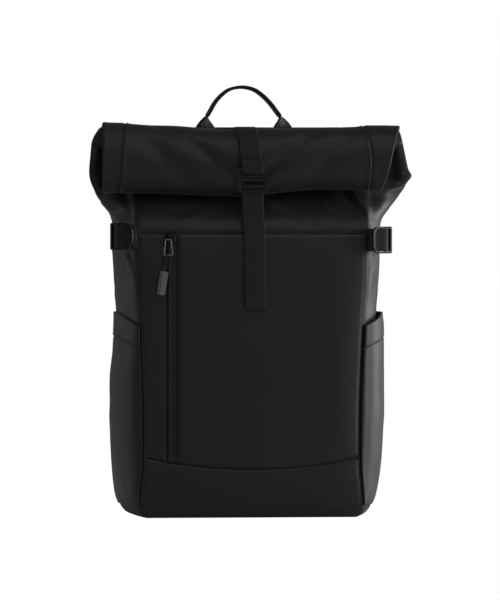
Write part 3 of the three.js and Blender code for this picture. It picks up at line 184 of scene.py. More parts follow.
# How far the side pockets stand off, by height and side, in millimetres
POCKET_GAPE = table(
    "height gapeLeft gapeRight",
    [
        (13, 0, 0), (59, 4, 4.5), (102, 6.2, 7), (150, 5.4, 7.5), (187, 2.4, 7.2), (205, 0.8, 6.2),
        (216, 0, 4.3),
    ],
)

# Folds of the cloth: a hollow (depth > 0) or ridge (depth < 0) along a line, given in shares of
# half BODY_WIDTH across and of BODY_HEIGHT up; depth and reach in millimetres
FOLDS = table(
    "wall x0 z0 x1 z1 depth reach",
    [
        (0, -0.08, 0.815, -0.5, 0.765, 2.2, 9),
        (0, 0.12, 0.82, 0.42, 0.745, 2.6, 10),
        (0, 0.3, 0.825, 0.72, 0.77, 2.4, 9),
        (0, 0.72, 0.815, 0.86, 0.765, 2.8, 8),
        (0, 0.14, 0.79, 0.3, 0.755, -2.0, 5),
        (0, 0.55, 0.785, 0.66, 0.745, -1.5, 5),
        (0, -0.28, 0.79, -0.52, 0.755, -2.2, 6),
        (0, 0.88, 0.81, 0.845, 0.775, 2.6, 3),
        (-1, 1.1, 0.93, 1.1, 0.84, 9, 6),
        (-1, 0.9, 0.8, 1.06, 0.76, 2.4, 7),
        (-1, 0.96, 0.66, 0.98, 0.585, 1.8, 7),
        (-1, 1.08, 0.795, 0.93, 0.73, -2.4, 2.4),
        (-1, 0.93, 0.73, 0.91, 0.71, -2.0, 2.2),
        (-1, 1.0, 0.79, 0.9, 0.75, 1.1, 4),
        (-1, 0.94, 0.83, 0.9, 0.77, 6, 6),
        (-1, 0.93, 0.665, 0.885, 0.61, -2.6, 2.3),
        (-1, 0.93, 0.665, 0.965, 0.63, -2.0, 2.3),
        (-1, 0.9, 0.63, 0.9, 0.6, 1.0, 3),
        (-1, 0.87, 0.6, 0.88, 0.53, -0.7, 5),
        (1, 0.93, 0.66, 0.96, 0.59, 2.0, 7),
        (1, 1.12, 0.925, 1.12, 0.865, 9, 6.5),
        (1, 0.95, 0.845, 1.14, 0.86, 4.0, 7),
        (1, 0.96, 0.825, 1.16, 0.838, -1.5, 4),
        (1, 0.915, 0.66, 0.875, 0.625, -2.3, 1.9),
        (1, 0.915, 0.66, 0.95, 0.625, -2.3, 1.9),
        (1, 1.24, 0.866, 1.16, 0.862, -5, 4.5),
        (1, 0.88, 0.63, 0.86, 0.56, -0.9, 3),
        (1, 0.93, 0.6, 0.89, 0.53, 1.3, 5),
        (1, 0.95, 0.825, 0.9, 0.765, 5, 7),
    ],
)

# How the front strap leans: height as a share of BODY_HEIGHT, shift in millimetres
STRAP_LEAN = table(
    "height shift",
    [(0.5, 3.4), (0.7, 2.7), (0.79, 0.6), (0.82, 0), (0.885, 0), (0.93, -2.6), (1.0, -5.8)],
)


# Surfaces, in millimetres


def lerp(a, b, t):
    return a + (b - a) * t


def clamp(x):
    return min(1.0, max(0.0, x))


def bell(x, wide=1.0):
    return math.exp(-((x / wide) ** 2))


def smoothstep(x, low, high):
    t = clamp((x - low) / (high - low))
    return t * t * (3 - 2 * t)


def read(table_, at, name):
    """A column's value between the rows of a table, looked up by its first column."""
    return float(np.interp(at, next(iter(table_.values())), table_[name]))


def hand(name, side):
    return name + ("Left" if side < 0 else "Right")


def column(name, position):
    """Cubic through one column of SECTIONS at a row position that need not be whole."""
    values = SECTIONS[name]
    last = len(values) - 1
    row = min(last - 1, max(0, math.floor(position)))
    t = position - row
    p0, p1 = values[max(0, row - 1)], values[row]
    p2, p3 = values[row + 1], values[min(last, row + 2)]
    m1, m2 = (p2 - p0) / 2, (p3 - p1) / 2
    t2, t3 = t * t, t * t * t
    return (2 * t3 - 3 * t2 + 1) * p1 + (t3 - 2 * t2 + t) * m1 + (3 * t2 - 2 * t3) * p2 + (t3 - t2) * m2


def height_at(row):
    return column("height", row) * BODY_HEIGHT


ROW_STEPS = np.linspace(0, TOP_ROW, 2001)
ROW_HEIGHTS = np.array([height_at(row) for row in ROW_STEPS])


def row_at(height):
    return float(np.interp(height, ROW_HEIGHTS, ROW_STEPS))


def front_line(row):
    return -column("front", row) * BODY_DEPTH / 2


def back_line(row):
    return column("back", row) * BODY_DEPTH / 2


def seam_x(side, row):
    return side * column(hand("seam", side), row) * FRONT_WIDTH / 2


def back_seam_x(side, row):
    return side * column(hand("backSeam", side), row) * BACK_WIDTH / 2


def hollow(wall, x, z):
    total = 0.0
    for w, x0, z0, x1, z1, depth, reach in zip(*FOLDS.values()):
        if w != wall:
            continue
        ax, az = x0 * BODY_WIDTH / 2, z0 * BODY_HEIGHT
        bx, bz = x1 * BODY_WIDTH / 2 - ax, z1 * BODY_HEIGHT - az
        t = clamp(((x - ax) * bx + (z - az) * bz) / (bx * bx + bz * bz))
        far = math.hypot(x - ax - t * bx, z - az - t * bz)
        total += depth * bell(far, reach)
    return total


def edge_turn(share, row):
    """How far the front turns back towards its right seam, where it is padded and rounded."""
    return 5.5 * column("crown", row) * max(0.0, (share - 0.86) / 0.14) ** 2


def front_wall(share, row):
    x = lerp(seam_x(-1, row), seam_x(1, row), share)
    crown = FRONT_CROWN * column("crown", row) * 4 * share * (1 - share)
    z = height_at(row)
    edge = min(1.0, 24 * share * (1 - share))
    return Vector((x, front_line(row) - crown + edge * hollow(0, x, z) + edge_turn(share, row), z))


def back_wall(share, row):
    x = lerp(back_seam_x(-1, row), back_seam_x(1, row), share)
    crown = BACK_CROWN * column("crown", row) * 4 * share * (1 - share)
    return Vector((x, back_line(row) + crown, height_at(row)))


def side_wall(side, share, row, slack=1.0):
    """Side wall from the front seam (share 0) round its widest line (0.5) to the back seam (1);
    less slack draws its front half straighter."""
    wide_x = column(hand("side", side), row) * BODY_WIDTH / 2
    wide_y = column("widest", row) * BODY_DEPTH / 2
    if share < 0.5:
        end_x, end_y, t = abs(seam_x(side, row)), front_line(row), share * 2
        if side > 0 and slack < 1:
            end_y += edge_turn(1, row)
    else:
        end_x, end_y, t = abs(back_seam_x(side, row)), back_line(row), (1 - share) * 2
    full = column("round", row) * (slack if share < 0.5 else 1)

    def handle(x0, y0, x1, y1):
        x, y = lerp(x0, x1, 1 / 3), lerp(y0, y1, 1 / 3)
        return lerp(x, lerp(x0, wide_x, 0.62), full), lerp(y, lerp(y0, end_y, 0.62), full)

    ax, ay = handle(end_x, end_y, wide_x, wide_y)
    bx, by = handle(wide_x, wide_y, end_x, end_y)
    s = 1 - t
    x = s**3 * end_x + 3 * s * s * t * ax + 3 * s * t * t * bx + t**3 * wide_x
    y = s**3 * end_y + 3 * s * s * t * ay + 3 * s * t * t * by + t**3 * wide_y
    z = height_at(row)
    dip = 0.7 * min(1.0, 5 * share * (1 - share)) * hollow(side, x, z)
    return Vector((side * (x - dip), y + dip * smoothstep(0.5 - share, 0, 0.1), z))


def front_share(x, row):
    left = seam_x(-1, row)
    return (x - left) / (seam_x(1, row) - left)


def base_seam(x):
    return BASE_SEAM + BASE_SEAM_RISE * abs(2 * x / FRONT_WIDTH) ** 2.2


ROLL_Y = -BODY_DEPTH / 2 - ROLL_OVERHANG + ROLL_DEPTH / 2
ROLL_Z = BODY_HEIGHT - ROLL_HEIGHT / 2 - ROLL_PITCH / 4


def roll_point(angle):
    turned = max(0.0, angle) / 360
    across = ROLL_DEPTH / 2 - ROLL_PITCH * max(0.0, turned - 0.25)
    up = BODY_HEIGHT - ROLL_Z - ROLL_PITCH * turned
    a = math.radians(angle)

    phase = angle % 360
    square = 2.3 - 0.6 * (smoothstep(phase, 60, 120) - smoothstep(phase, 250, 300))

    def power(value):
        return math.copysign(abs(value) ** (2 / square), value)

    return ROLL_Y - across * power(math.sin(a)), ROLL_Z + up * power(math.cos(a))


# Meshes


def grid_faces(columns, rows, start=0, flip=False):
    faces = []
    for j in range(rows - 1):
        for i in range(columns - 1):
            a = start + j * columns + i
            quad = (a, a + 1, a + columns + 1, a + columns)
            faces.append(quad[::-1] if flip else quad)
    return faces


def sheet_faces(columns, rows):
    """Faces of a closed sheet: a grid of outer points, then as many inner ones, joined at the rim."""
    layer = columns * rows
    faces = grid_faces(columns, rows) + grid_faces(columns, rows, layer, flip=True)
    rim = [i for i in range(columns)]
    rim += [j * columns + columns - 1 for j in range(1, rows)]
    rim += [(rows - 1) * columns + i for i in range(columns - 2, -1, -1)]
    rim += [j * columns for j in range(rows - 2, 0, -1)]
    for k, a in enumerate(rim):
        b = rim[(k + 1) % len(rim)]
        faces.append((b, a, a + layer, b + layer))
    return faces


def ring_faces(rings, count, capped=True):
    """Faces between rings of points, and over the first and last ring."""
    faces = []
    for k in range(rings - 1):
        for i in range(count):
            a, b = k * count + i, k * count + (i + 1) % count
            faces.append((a, b, b + count, a + count))
    if capped:
        last = (rings - 1) * count
        faces += [tuple(range(count)), tuple(range(last + count - 1, last - 1, -1))]
    return faces


def outward(mesh):
    """Merges doubles and makes the faces of closed parts point outwards."""
    bm = bmesh.new()
    bm.from_mesh(mesh)
    bmesh.ops.remove_doubles(bm, verts=bm.verts, dist=1e-6)
    bmesh.ops.recalc_face_normals(bm, faces=bm.faces)
    bm.to_mesh(mesh)
    bm.free()


def add_to_scene(name, data):
    obj = bpy.data.objects.new(name, data)
    bpy.context.scene.collection.objects.link(obj)
    return obj


def smooth_faces(mesh):
    mesh.polygons.foreach_set("use_smooth", [True] * len(mesh.polygons))


def add_object(name, points, faces, material, smooth=True):
    """A piece from points in millimetres."""
    mesh = bpy.data.meshes.new(name)
    mesh.from_pydata([tuple(c * MM for c in p) for p in points], [], faces)
    outward(mesh)
    mesh.materials.append(material)
    if smooth:
        smooth_faces(mesh)
    return add_to_scene(name, mesh)


def thick_grid(surface, us, vs, thick, out):
    """Points and faces of a closed sheet: its outer face is surface, its inner one thick behind it."""
    columns, rows = len(us), len(vs)
    outer = np.array([surface(u, v) for v in vs for u in us]).reshape(rows, columns, 3)
    du = np.gradient(outer, axis=1)
    dv = np.gradient(outer, axis=0)
    normal = np.cross(du, dv)
    length = np.linalg.norm(normal, axis=2, keepdims=True)
    normal = normal / np.maximum(length, 1e-9)
    if np.sum(normal * np.array(out)) < 0:
        normal = -normal
    inner = outer - normal * thick
    points = [tuple(p) for p in outer.reshape(-1, 3)] + [tuple(p) for p in inner.reshape(-1, 3)]
    return points, sheet_faces(columns, rows)


def add_sheet(name, surface, us, vs, thick, out, material, cad, slot):
    """A piece of cloth of one thickness whose outer face is a surface."""
    points, faces = thick_grid(surface, us, vs, thick, out)
    stand_in(add_object(name, points, faces, MATERIALS[material]), cad, slot)


def spread(count, ease=0.0):
    """Shares from 0 to 1, closer together at both ends as ease nears 1."""
    steps = np.linspace(0, 1, count)
    eased = (1 - np.cos(math.pi * steps)) / 2
    return list(lerp(steps, eased, ease))


def turned_edge(distance, reach=2.6, depth=0.9):
    """How far cloth sinks at a given distance from the seam where it is turned under."""
    return depth * (bell(distance, reach) + bell(distance, 0.6))


def ripple(x, y, z, size, seed):
    return noise.noise(Vector((x / size + seed, y / size, z / size - seed)))


def waves(x, y, z, wide, narrow, share=0.5):
    """Gentle unevenness of stuffed cloth: wide waves and narrow ones, each a size and a seed."""
    return ripple(x, y, z, *wide) + share * ripple(x, y, z, *narrow)


def ride_with(obj):
    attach(obj, "root")


def stand_in(obj, cad, slot):
    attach(obj, "root")
    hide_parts(cad)


# Materials


def new_material(name, color, roughness, metallic=0.0, specular=0.5):
    material = bpy.data.materials.new(name)
    material.use_nodes = True
    shader = material.node_tree.nodes["Principled BSDF"]
    shader.inputs["Base Color"].default_value = (*color, 1)
    shader.inputs["Roughness"].default_value = roughness
    shader.inputs["Metallic"].default_value = metallic
    shader.inputs["Specular IOR Level"].default_value = specular
    return material, shader


def node(tree, kind, **values):
    made = tree.nodes.new(kind)
    for name, value in values.items():
        if hasattr(made, name):
            setattr(made, name, value)
        else:
            made.inputs[name.replace("_", " ")].default_value = value
    return made


def noise_factor(tree, scale, detail=3.0):
    place = node(tree, "ShaderNodeTexCoord")
    texture = node(tree, "ShaderNodeTexNoise", Scale=scale, Detail=detail)
    tree.links.new(place.outputs["Object"], texture.inputs["Vector"])
    return texture.outputs["Fac"]


def ranged(tree, value, low, high):
    mapped = node(tree, "ShaderNodeMapRange")
    mapped.inputs["To Min"].default_value = low
    mapped.inputs["To Max"].default_value = high
    tree.links.new(value, mapped.inputs["Value"])
    return mapped.outputs["Result"]


def varied_color(tree, shader, factor, color, low, high):
    """Base colour between two strengths of one colour."""
    mix = tree.nodes.new("ShaderNodeMix")
    mix.data_type = "RGBA"
    mix.inputs["A"].default_value = (*(c * low for c in color), 1)
    mix.inputs["B"].default_value = (*(c * high for c in color), 1)
    tree.links.new(factor, mix.inputs["Factor"])
    tree.links.new(mix.outputs["Result"], shader.inputs["Base Color"])


def add_sheen(shader, weight, roughness=0.5):
    shader.inputs["Sheen Weight"].default_value = weight
    shader.inputs["Sheen Roughness"].default_value = roughness


def add_bump(tree, shader, layers):
    """Bump of several (height socket, distance, strength) laid over one another."""
    last = None
    for height, distance, strength in layers:
        bump = node(tree, "ShaderNodeBump", Distance=distance, Strength=strength)
        tree.links.new(height, bump.inputs["Height"])
        if last is not None:
            tree.links.new(last, bump.inputs["Normal"])
        last = bump.outputs["Normal"]
    tree.links.new(last, shader.inputs["Normal"])


def wave(tree, axis, scale):
    """Fine lines across one axis of the object's own place."""
    place = node(tree, "ShaderNodeTexCoord")
    texture = node(tree, "ShaderNodeTexWave", wave_type="BANDS", bands_direction=axis, Scale=scale)
    tree.links.new(place.outputs["Object"], texture.inputs["Vector"])
    return texture.outputs["Fac"]


def coated_cloth(name, color, roughness):
    """Smooth coated cloth: dull, faintly uneven, with a fine grain under its coating."""
    material, shader = new_material(name, color, roughness, specular=0.42)
    tree = material.node_tree
    cloudy = noise_factor(tree, 9, 2)
    tree.links.new(ranged(tree, cloudy, roughness - 0.05, roughness + 0.06), shader.inputs["Roughness"])
    varied_color(tree, shader, cloudy, color, 0.86, 1.14)
    add_sheen(shader, 0.1, 0.45)
    weave = [(wave(tree, axis, 620), 0.00003, 0.25) for axis in "XZ"]
    grain = (noise_factor(tree, 900, 2), 0.00005, 0.25)
    dents = (noise_factor(tree, 26, 2), 0.0012, 0.18)
    add_bump(tree, shader, [*weave, grain, dents])
    return material


def ribbed_webbing(name, color, axis):
    """Woven strap: fine lengthwise ribs and a rough, dull face."""
    material, shader = new_material(name, color, 0.62, specular=0.35)
    tree = material.node_tree
    fuzz = noise_factor(tree, 500, 3)
    varied_color(tree, shader, fuzz, color, 0.7, 1.5)
    tree.links.new(ranged(tree, fuzz, 0.52, 0.74), shader.inputs["Roughness"])
    add_sheen(shader, 0.1)
    ribs = wave(tree, axis, 210)
    cross = wave(tree, "Z" if axis == "X" else "X", 330)
    add_bump(tree, shader, [(ribs, 0.0004, 0.5), (cross, 0.0002, 0.4), (fuzz, 0.0002, 0.4)])
    return material


def hard_finish(name, color, roughness, metallic):
    material, shader = new_material(name, color, roughness, metallic)
    tree = material.node_tree
    wear = noise_factor(tree, 140, 3)
    tree.links.new(ranged(tree, wear, roughness - 0.06, roughness + 0.1), shader.inputs["Roughness"])
    varied_color(tree, shader, wear, color, 1, 1.35)
    grain = noise_factor(tree, 1500, 2)
    add_bump(tree, shader, [(grain, 0.00003, 0.3)])
    return material


def mesh_cloth(name, color):
    """Open air mesh over padding: rows of small round holes."""
    material, shader = new_material(name, color, 0.85, specular=0.25)
    tree = material.node_tree
    place = node(tree, "ShaderNodeTexCoord")
    cells = node(tree, "ShaderNodeTexVoronoi", Scale=420.0)
    cells.inputs["Randomness"].default_value = 0.15
    tree.links.new(place.outputs["Object"], cells.inputs["Vector"])
    holes = ranged(tree, cells.outputs["Distance"], 0.0, 1.6)
    varied_color(tree, shader, holes, color, 0.45, 1.5)
    add_sheen(shader, 0.2)
    fuzz = noise_factor(tree, 700, 2)
    add_bump(tree, shader, [(cells.outputs["Distance"], 0.0008, 0.6), (fuzz, 0.0002, 0.3)])
    return material


MATERIALS = {}


def make_materials(colors):
    # The ring's metal is a lighter copy of the edges' colour: a painted highlight along the ring's wire
    worn = tuple(0.4 * c for c in colors.edges)
    MATERIALS.update(
        cloth=coated_cloth("coated_cloth", colors.cloth, 0.5),
        cloth_side=coated_cloth("coated_cloth_side", colors.cloth, 0.44),
        strap=ribbed_webbing("webbing_upright", colors.webbing, "X"),
        side_strap=ribbed_webbing("webbing_level", colors.webbing, "Z"),
        zip=coated_cloth("zip_tape", colors.zip_tape, 0.55),
        metal=hard_finish("black_metal", colors.metal, 0.34, 0.6),
        # Light colour on the bevels of the buckles: a painted highlight that stands in for the bright rims
        # light gives their edges
        rubbed=hard_finish("rubbed_metal", colors.edges, 0.4, 0.5),
        worn=hard_finish("worn_metal", worn, 0.32, 0.7),
        plastic=hard_finish("black_plastic", colors.plastic, 0.42, 0.0),
        rubber=hard_finish("grey_rubber", colors.grip, 0.6, 0.0),
        mesh=mesh_cloth("back_mesh", colors.padding),
        thread=ribbed_webbing("thread", colors.thread, "X"),
    )


# Shell: front, sides, back and bottom


def front_surface(left, right, bottom, top, dips, recess=0, seed=0, uneven=0.5):
    """Front wall between two edges and two seams; dips says which of its four edges are turned in."""
    level = row_at(BASE_SEAM)

    def surface(u, v):
        x_low = front_wall(lerp(left(level), right(level), u), level).x
        low, high = bottom(x_low), top(x_low)
        row = lerp(row_at(low), row_at(high), v)
        p = front_wall(lerp(left(row), right(row), u), row)
        x_left = front_wall(left(row), row).x
        x_right = front_wall(right(row), row).x
        z = p.z
        distances = (p.x - x_left, x_right - p.x, z - low, high - z)
        sink = max((turned_edge(d) for d, dip in zip(distances, dips) if dip), default=0.0)
        inner = clamp(min(distances) / 14)
        uneven_by = uneven * inner * waves(p.x, p.y, z, (62, seed), (23, seed + 3), 0.45)
        p.y += recess + sink + uneven_by
        return p

    return surface


def front_edges():
    """Upright edges of the front's pieces: where each lies, as a share of the front's width."""
    return {
        "left": lambda row: 0.0,
        "right": lambda row: 1.0,
        "zip_left": lambda row: front_share(ZIP_CENTRE - ZIP_WIDTH / 2, row),
        "zip_right": lambda row: front_share(ZIP_CENTRE + ZIP_WIDTH / 2, row),
    }


FRONT_SEAMS = {
    "floor": lambda x: 0.0,
    "base": base_seam,
    "low": lambda x: base_seam(x) + 0.1,
    "top": lambda x: TOP_SEAM,
    "crest": lambda x: height_at(TOP_ROW),
}
# Pieces of the front: name, edges, seams, which edges are turned in (left, right, low, high), points
# across and along, unevenness, CAD node
FRONT_PIECES = (
    ("front_base", "left", "right", "floor", "base", (1, 1, 0, 1), 110, 34, 0.5, "front_base_panel"),
    ("front_edge", "left", "zip_left", "low", "top", (1, 1, 1, 1), 18, 110, 0.5, "front_panel_edge"),
    ("front_main", "zip_right", "right", "low", "top", (1, 1, 1, 1), 96, 120, 0.5, "front_panel_main"),
    ("front_top", "left", "right", "top", "crest", (1, 1, 1, 0), 110, 84, 0.9, "front_yoke"),
)


def add_front():
    edges = front_edges()
    for k, (name, left, right, low, high, dips, across, along, uneven, cad) in enumerate(FRONT_PIECES):
        sides, seams = (edges[left], edges[right]), (FRONT_SEAMS[low], FRONT_SEAMS[high])
        surface = front_surface(*sides, *seams, dips, 0, k * 7, uneven)
        us, vs = spread(across, 0.7), spread(along, 0.6)
        add_sheet(name, surface, us, vs, CLOTH, (0, -1, 0), "cloth", cad, "shell_cloth")


def add_zip():
    """Zip strip: a coated flap over a fine slit near its left edge."""
    edges = front_edges()
    sides = edges["zip_left"], edges["zip_right"]
    base = front_surface(*sides, FRONT_SEAMS["low"], FRONT_SEAMS["top"], (0, 0, 0, 0), 0.9)

    def surface(u, v):
        p = base(u, v)
        p.y += 1.5 * bell((u - 0.13) * ZIP_WIDTH, 0.55) - 0.5 * bell(u * ZIP_WIDTH - 2.9, 1.2)
        return p

    us, vs = spread(56), spread(100, 0.3)
    add_sheet("zip_strip", surface, us, vs, CLOTH * 0.7, (0, -1, 0), "zip", "zip_tape", "zip_tape")


def side_surface(side):
    def surface(u, v):
        row = v * TOP_ROW
        p = side_wall(side, u, row, SIDE_SLACK)
        z = p.z
        inner = min(1.0, 8 * u * (1 - u))
        sink = turned_edge(u * SIDE_GIRTH) + turned_edge((1 - u) * SIDE_GIRTH)
        amount = 0.8 if z > POCKET_TOP_SIDE else 0.5
        p.x -= side * (sink + amount * inner * waves(p.x, p.y, z, (55, side * 11), (21, side * 5)))
        return p

    return surface


def add_sides():
    for side, word in SIDES:
        wall = side_surface(side), spread(84, 0.5), spread(190), CLOTH, (side, 0, 0)
        add_sheet("side_" + word, *wall, "cloth_side", "side_panel_" + word, "shell_cloth")


def pocket_surface(side):
    foot = row_at(POCKET_FOOT)

    def surface(u, v):
        mouth = lerp(POCKET_TOP_FRONT, POCKET_TOP_SIDE, min(1.0, POCKET_SLOPE * u))
        row = lerp(foot, row_at(mouth), v)
        share = lerp(0.012, 0.97, u)
        p = side_wall(side, share, row, SIDE_SLACK)
        near = side_wall(side, min(1.0, share + 0.01), row, SIDE_SLACK)
        near -= side_wall(side, max(0.0, share - 0.01), row, SIDE_SLACK)
        out = Vector((near.y, -near.x, 0)).normalized()
        if out.x * side < 0:
            out.negate()
        gape = read(POCKET_GAPE, p.z, hand("gape", side)) * math.sin(math.pi * u) ** 0.6
        below = mouth - p.z
        hem = 0.5 * smoothstep(POCKET_HEM - below, -1, 1) - 0.8 * bell(below - POCKET_HEM)
        inner = 0.7 * min(1.0, 6 * u * (1 - u))
        stand = 1.9 + gape + hem - turned_edge((1 - u) * SIDE_GIRTH, 3, 1.2)
        stand += inner * waves(*p, (44, side * 3), (18, side * 9))
        return p + out * max(0.35, stand)

    return surface


def add_pockets():
    for side, word in SIDES:
        wall = pocket_surface(side), spread(80, 0.6), spread(110, 0.4), CLOTH, (side, 0, 0)
        add_sheet("pocket_" + word, *wall, "cloth_side", "side_pocket_" + word, "shell_cloth")


def add_bottom():
    outline = [front_wall(i / 30, 0) for i in range(31)]
    outline += [side_wall(1, i / 24, 0) for i in range(1, 24)]
    outline += [back_wall(i / 30, 0) for i in range(30, -1, -1)]
    outline += [side_wall(-1, i / 24, 0) for i in range(23, 0, -1)]
    count = len(outline)
    rings = [(1.0, 0.0), (0.985, 0.0), (0.97, 0.35), (0.5, 0.35)]
    points = [(p.x * share, p.y * share, height) for share, height in rings for p in outline]
    points += [(0, 0, 0.35), (0, 0, CLOTH)]
    low, high = len(points) - 2, len(points) - 1
    faces = ring_faces(len(rings), count, capped=False)
    start = len(points)
    points += [(p.x, p.y, CLOTH) for p in outline]
    last = (len(rings) - 1) * count
    for i in range(count):
        j = (i + 1) % count
        faces += [(last + i, last + j, low), (start + j, start + i, high), (i, start + i, start + j, j)]
    obj = add_object("bottom", points, faces, MATERIALS["cloth"], smooth=False)
    stand_in(obj, "bottom_panel", "shell_cloth")


# Roll


def roll_marks():
    """Outer line of the rolled sheet seen from the side, as rows of angle, y and z."""
    start = row_at(BACK_SEAM + ROLL_JOIN)
    rows = [lerp(start, TOP_ROW, i / 4) for i in range(5)]
    marks = [(ON_BACK + i, back_line(row), height_at(row)) for i, row in enumerate(rows)]
    angle = ROLL_START
    while angle < 360 * ROLL_TURNS:
        marks.append((angle, *roll_point(angle)))
        angle += ROLL_STEP
    return marks


ROLL_MARKS = roll_marks()


def catmull(points, t):
    """Centripetal Catmull-Rom point at share t of a list of points."""
    last = len(points) - 1
    i = min(last - 1, int(t * last))
    w = t * last - i
    p1, p2 = points[i], points[i + 1]
    p0 = points[i - 1] if i > 0 else p1 * 2 - p2
    p3 = points[i + 2] if i + 2 <= last else p2 * 2 - p1
    d0, d1, d2 = [max(1e-6, (b - a).length ** 0.5) for a, b in ((p0, p1), (p1, p2), (p2, p3))]
    t1 = (p1 - p0) / d0 - (p2 - p0) / (d0 + d1) + (p2 - p1) / d1
    t2 = (p2 - p1) / d1 - (p3 - p1) / (d1 + d2) + (p3 - p2) / d2
    t1, t2 = t1 * d1, t2 * d1
    w2, w3 = w * w, w * w * w
    return p1 * (2 * w3 - 3 * w2 + 1) + t1 * (w3 - 2 * w2 + w) + p2 * (3 * w2 - 2 * w3) + t2 * (w3 - w2)


# Slanting folds of the rolled face: place across, lean in millimetres a degree, depth and width
ROLL_FOLDS = ((-50, 0.75, 3.4, 11), (-98, 0.6, 2.6, 13), (34, -0.65, 3.2, 11), (84, -0.5, 2.4, 13))


def roll_dents(x, angle):
    """Soft dents of the rolled face: slanting folds towards the strap, and a pinch under it."""
    if angle < -10 or angle > 190:
        return 0.0
    dent = 0.8 * bell(x + 2, 15) * bell(angle - 60, 45)
    for x0, lean, depth, wide in ROLL_FOLDS:
        far = x - x0 - lean * (angle - 80)
        dent += depth * bell(far, wide) * bell(angle - 95, 55)
    return dent


def edge_relief(distance, kind):
    """How far the rolled cloth sinks near its side: a folded edge that lies on top is rounded off
    at its very end and slightly raised; the cloth under it sinks."""
    if kind == "over":
        return 0.9 * bell(distance, 0.5) - 0.75 * bell(distance, 3.2)
    if kind == "under":
        return 0.9 * bell(distance, 2.2)
    return 1.1 * bell(distance, 0.9) - 0.6 * bell(distance, 4)


def sag(x, angle):
    """How far the rolled cloth lies below its line at one place, from the uneven lie of the roll."""
    across = 2 * x / ROLL_WIDTH
    drop, lift = read(ROLL_LIE, across, "drop"), read(ROLL_LIE, across, "lift")
    phase = angle % 360
    low = smoothstep(phase, 95, 165) - smoothstep(phase, 250, 330) if angle > 0 else 0
    return drop * smoothstep(angle, -75, -20) * (1 - smoothstep(angle, 15, 95)) - lift * low


def rolled_sheet(marks, left, right, wall, raised, across, along, seams):
    """Sheet that follows the roll's line between two lines across it, in points and faces; wall is
    its thickness past the top of the roll, and raised is how much higher it lies there."""
    path = [Vector((0, y, z)) for _, y, z in marks]
    angles = [angle for angle, _, _ in marks]
    last = len(marks) - 1

    def at(u, v):
        p = catmull(path, v)
        ahead = catmull(path, min(1.0, v + 0.002)) - catmull(path, max(0.0, v - 0.002))
        out = Vector((0, ahead.z, -ahead.y)).normalized()
        angle = float(np.interp(v * last, range(last + 1), angles))
        x0, x1 = left(angle, p.z), right(angle, p.z)
        x = lerp(x0, x1, u)
        from_left, from_right = x - x0, x1 - x
        sink = edge_relief(from_left, seams[0]) + edge_relief(from_right, seams[1])
        inner = min(1.0, min(from_left, from_right) / 10)
        loose = 0.55 * inner * smoothstep(angle, -60, -8)
        amount = sink + loose * waves(x, p.y, p.z, (48, 2), (19, 4)) + roll_dents(x, angle)
        q = p - out * amount
        thick = lerp(CLOTH, wall, clamp((angle - ROLL_START) / 36))
        rise = raised * math.cos(clamp(angle / 120) * math.pi / 2)
        return Vector((x, q.y, q.z + rise - sag(x, angle))), out, thick

    us, vs = spread(across, 0.5), spread(along)
    outer, inner = [], []
    for v in vs:
        for u in us:
            p, out, thick = at(u, v)
            outer.append(tuple(p))
            inner.append(tuple(p - out * thick))
    return outer + inner, sheet_faces(len(us), len(vs))


def roll_edge(side, line):
    """Seam or fold on one side of the roll; where the sheet runs up the back, the back's own seam."""

    def at(angle, z):
        if angle < ROLL_LINES["angle"][0]:
            return back_seam_x(side, row_at(z)) - side * ROLL_JOIN
        return side * read(ROLL_LINES, angle, hand(line, side)) * ROLL_WIDTH / 2

    return at


def add_roll():
    edges = roll_edge(-1, "seam"), roll_edge(1, "seam")
    points, faces = rolled_sheet(ROLL_MARKS, *edges, 3, 0, 130, 150, ("over", "over"))
    stand_in(add_object("roll_centre", points, faces, MATERIALS["cloth"]), "rolltop_centre", "shell_cloth")
    join = next(i for i, mark in enumerate(ROLL_MARKS) if mark[0] >= ROLL_START)
    for side, word in SIDES:
        # From left to right: the fold comes first on the left side and last on the right side
        edges = [roll_edge(side, "fold"), roll_edge(side, "seam")][::-side]
        seams = ["fold", "under"][::-side]
        points, faces = rolled_sheet(ROLL_MARKS[join - 1 :], *edges, 3.2, 0.4, 44, 130, seams)
        end = add_object("roll_end_of_" + word, points, faces, MATERIALS["cloth"])
        stand_in(end, "roll_end_" + word, "shell_cloth")


# Straps


def webbing_mesh(name, centre_line, wide, width, thick, material, across=24):
    """Flat strap along a line of points; wide gives the direction of its width at each of them."""
    points, profile = [], []
    for i in range(across + 1):
        share = i / across
        edge = min(share, 1 - share) * width
        half = thick / 2 * min(1.0, 0.35 + 0.65 * math.sqrt(min(1.0, edge / 0.8)))
        profile.append(((share - 0.5) * width, half))
    ring = [(w, h) for w, h in profile] + [(w, -h) for w, h in reversed(profile)]
    for k, p in enumerate(centre_line):
        along = heading(centre_line, k)
        w = (wide[k] - along * wide[k].dot(along)).normalized()
        n = along.cross(w).normalized()
        points += [tuple(p + w * a + n * b) for a, b in ring]
    return add_object(name, points, ring_faces(len(centre_line), len(ring)), material)


def heading(line, k):
    """Direction of a line of points at one of them."""
    return (line[min(len(line) - 1, k + 1)] - line[max(0, k - 1)]).normalized()


def sampled(points, count):
    return [catmull(points, i / (count - 1)) for i in range(count)]


def lean_at(z):
    return read(STRAP_LEAN, z / BODY_HEIGHT, "shift")


LAYER = WEBBING_THICK / 2 + STRAP_CLEAR
CORNER = 0.86 * LAYER
HOOK_REAR = ROLL_Y - ROLL_DEPTH / 2 - HOOK_STAND_OFF
HOOK_FRONT = HOOK_REAR - HOOK_THICK
TOP_BAR = HOOK_TOP - HOOK_BAR
HOOK_LOW = HOOK_TOP - HOOK_HEIGHT


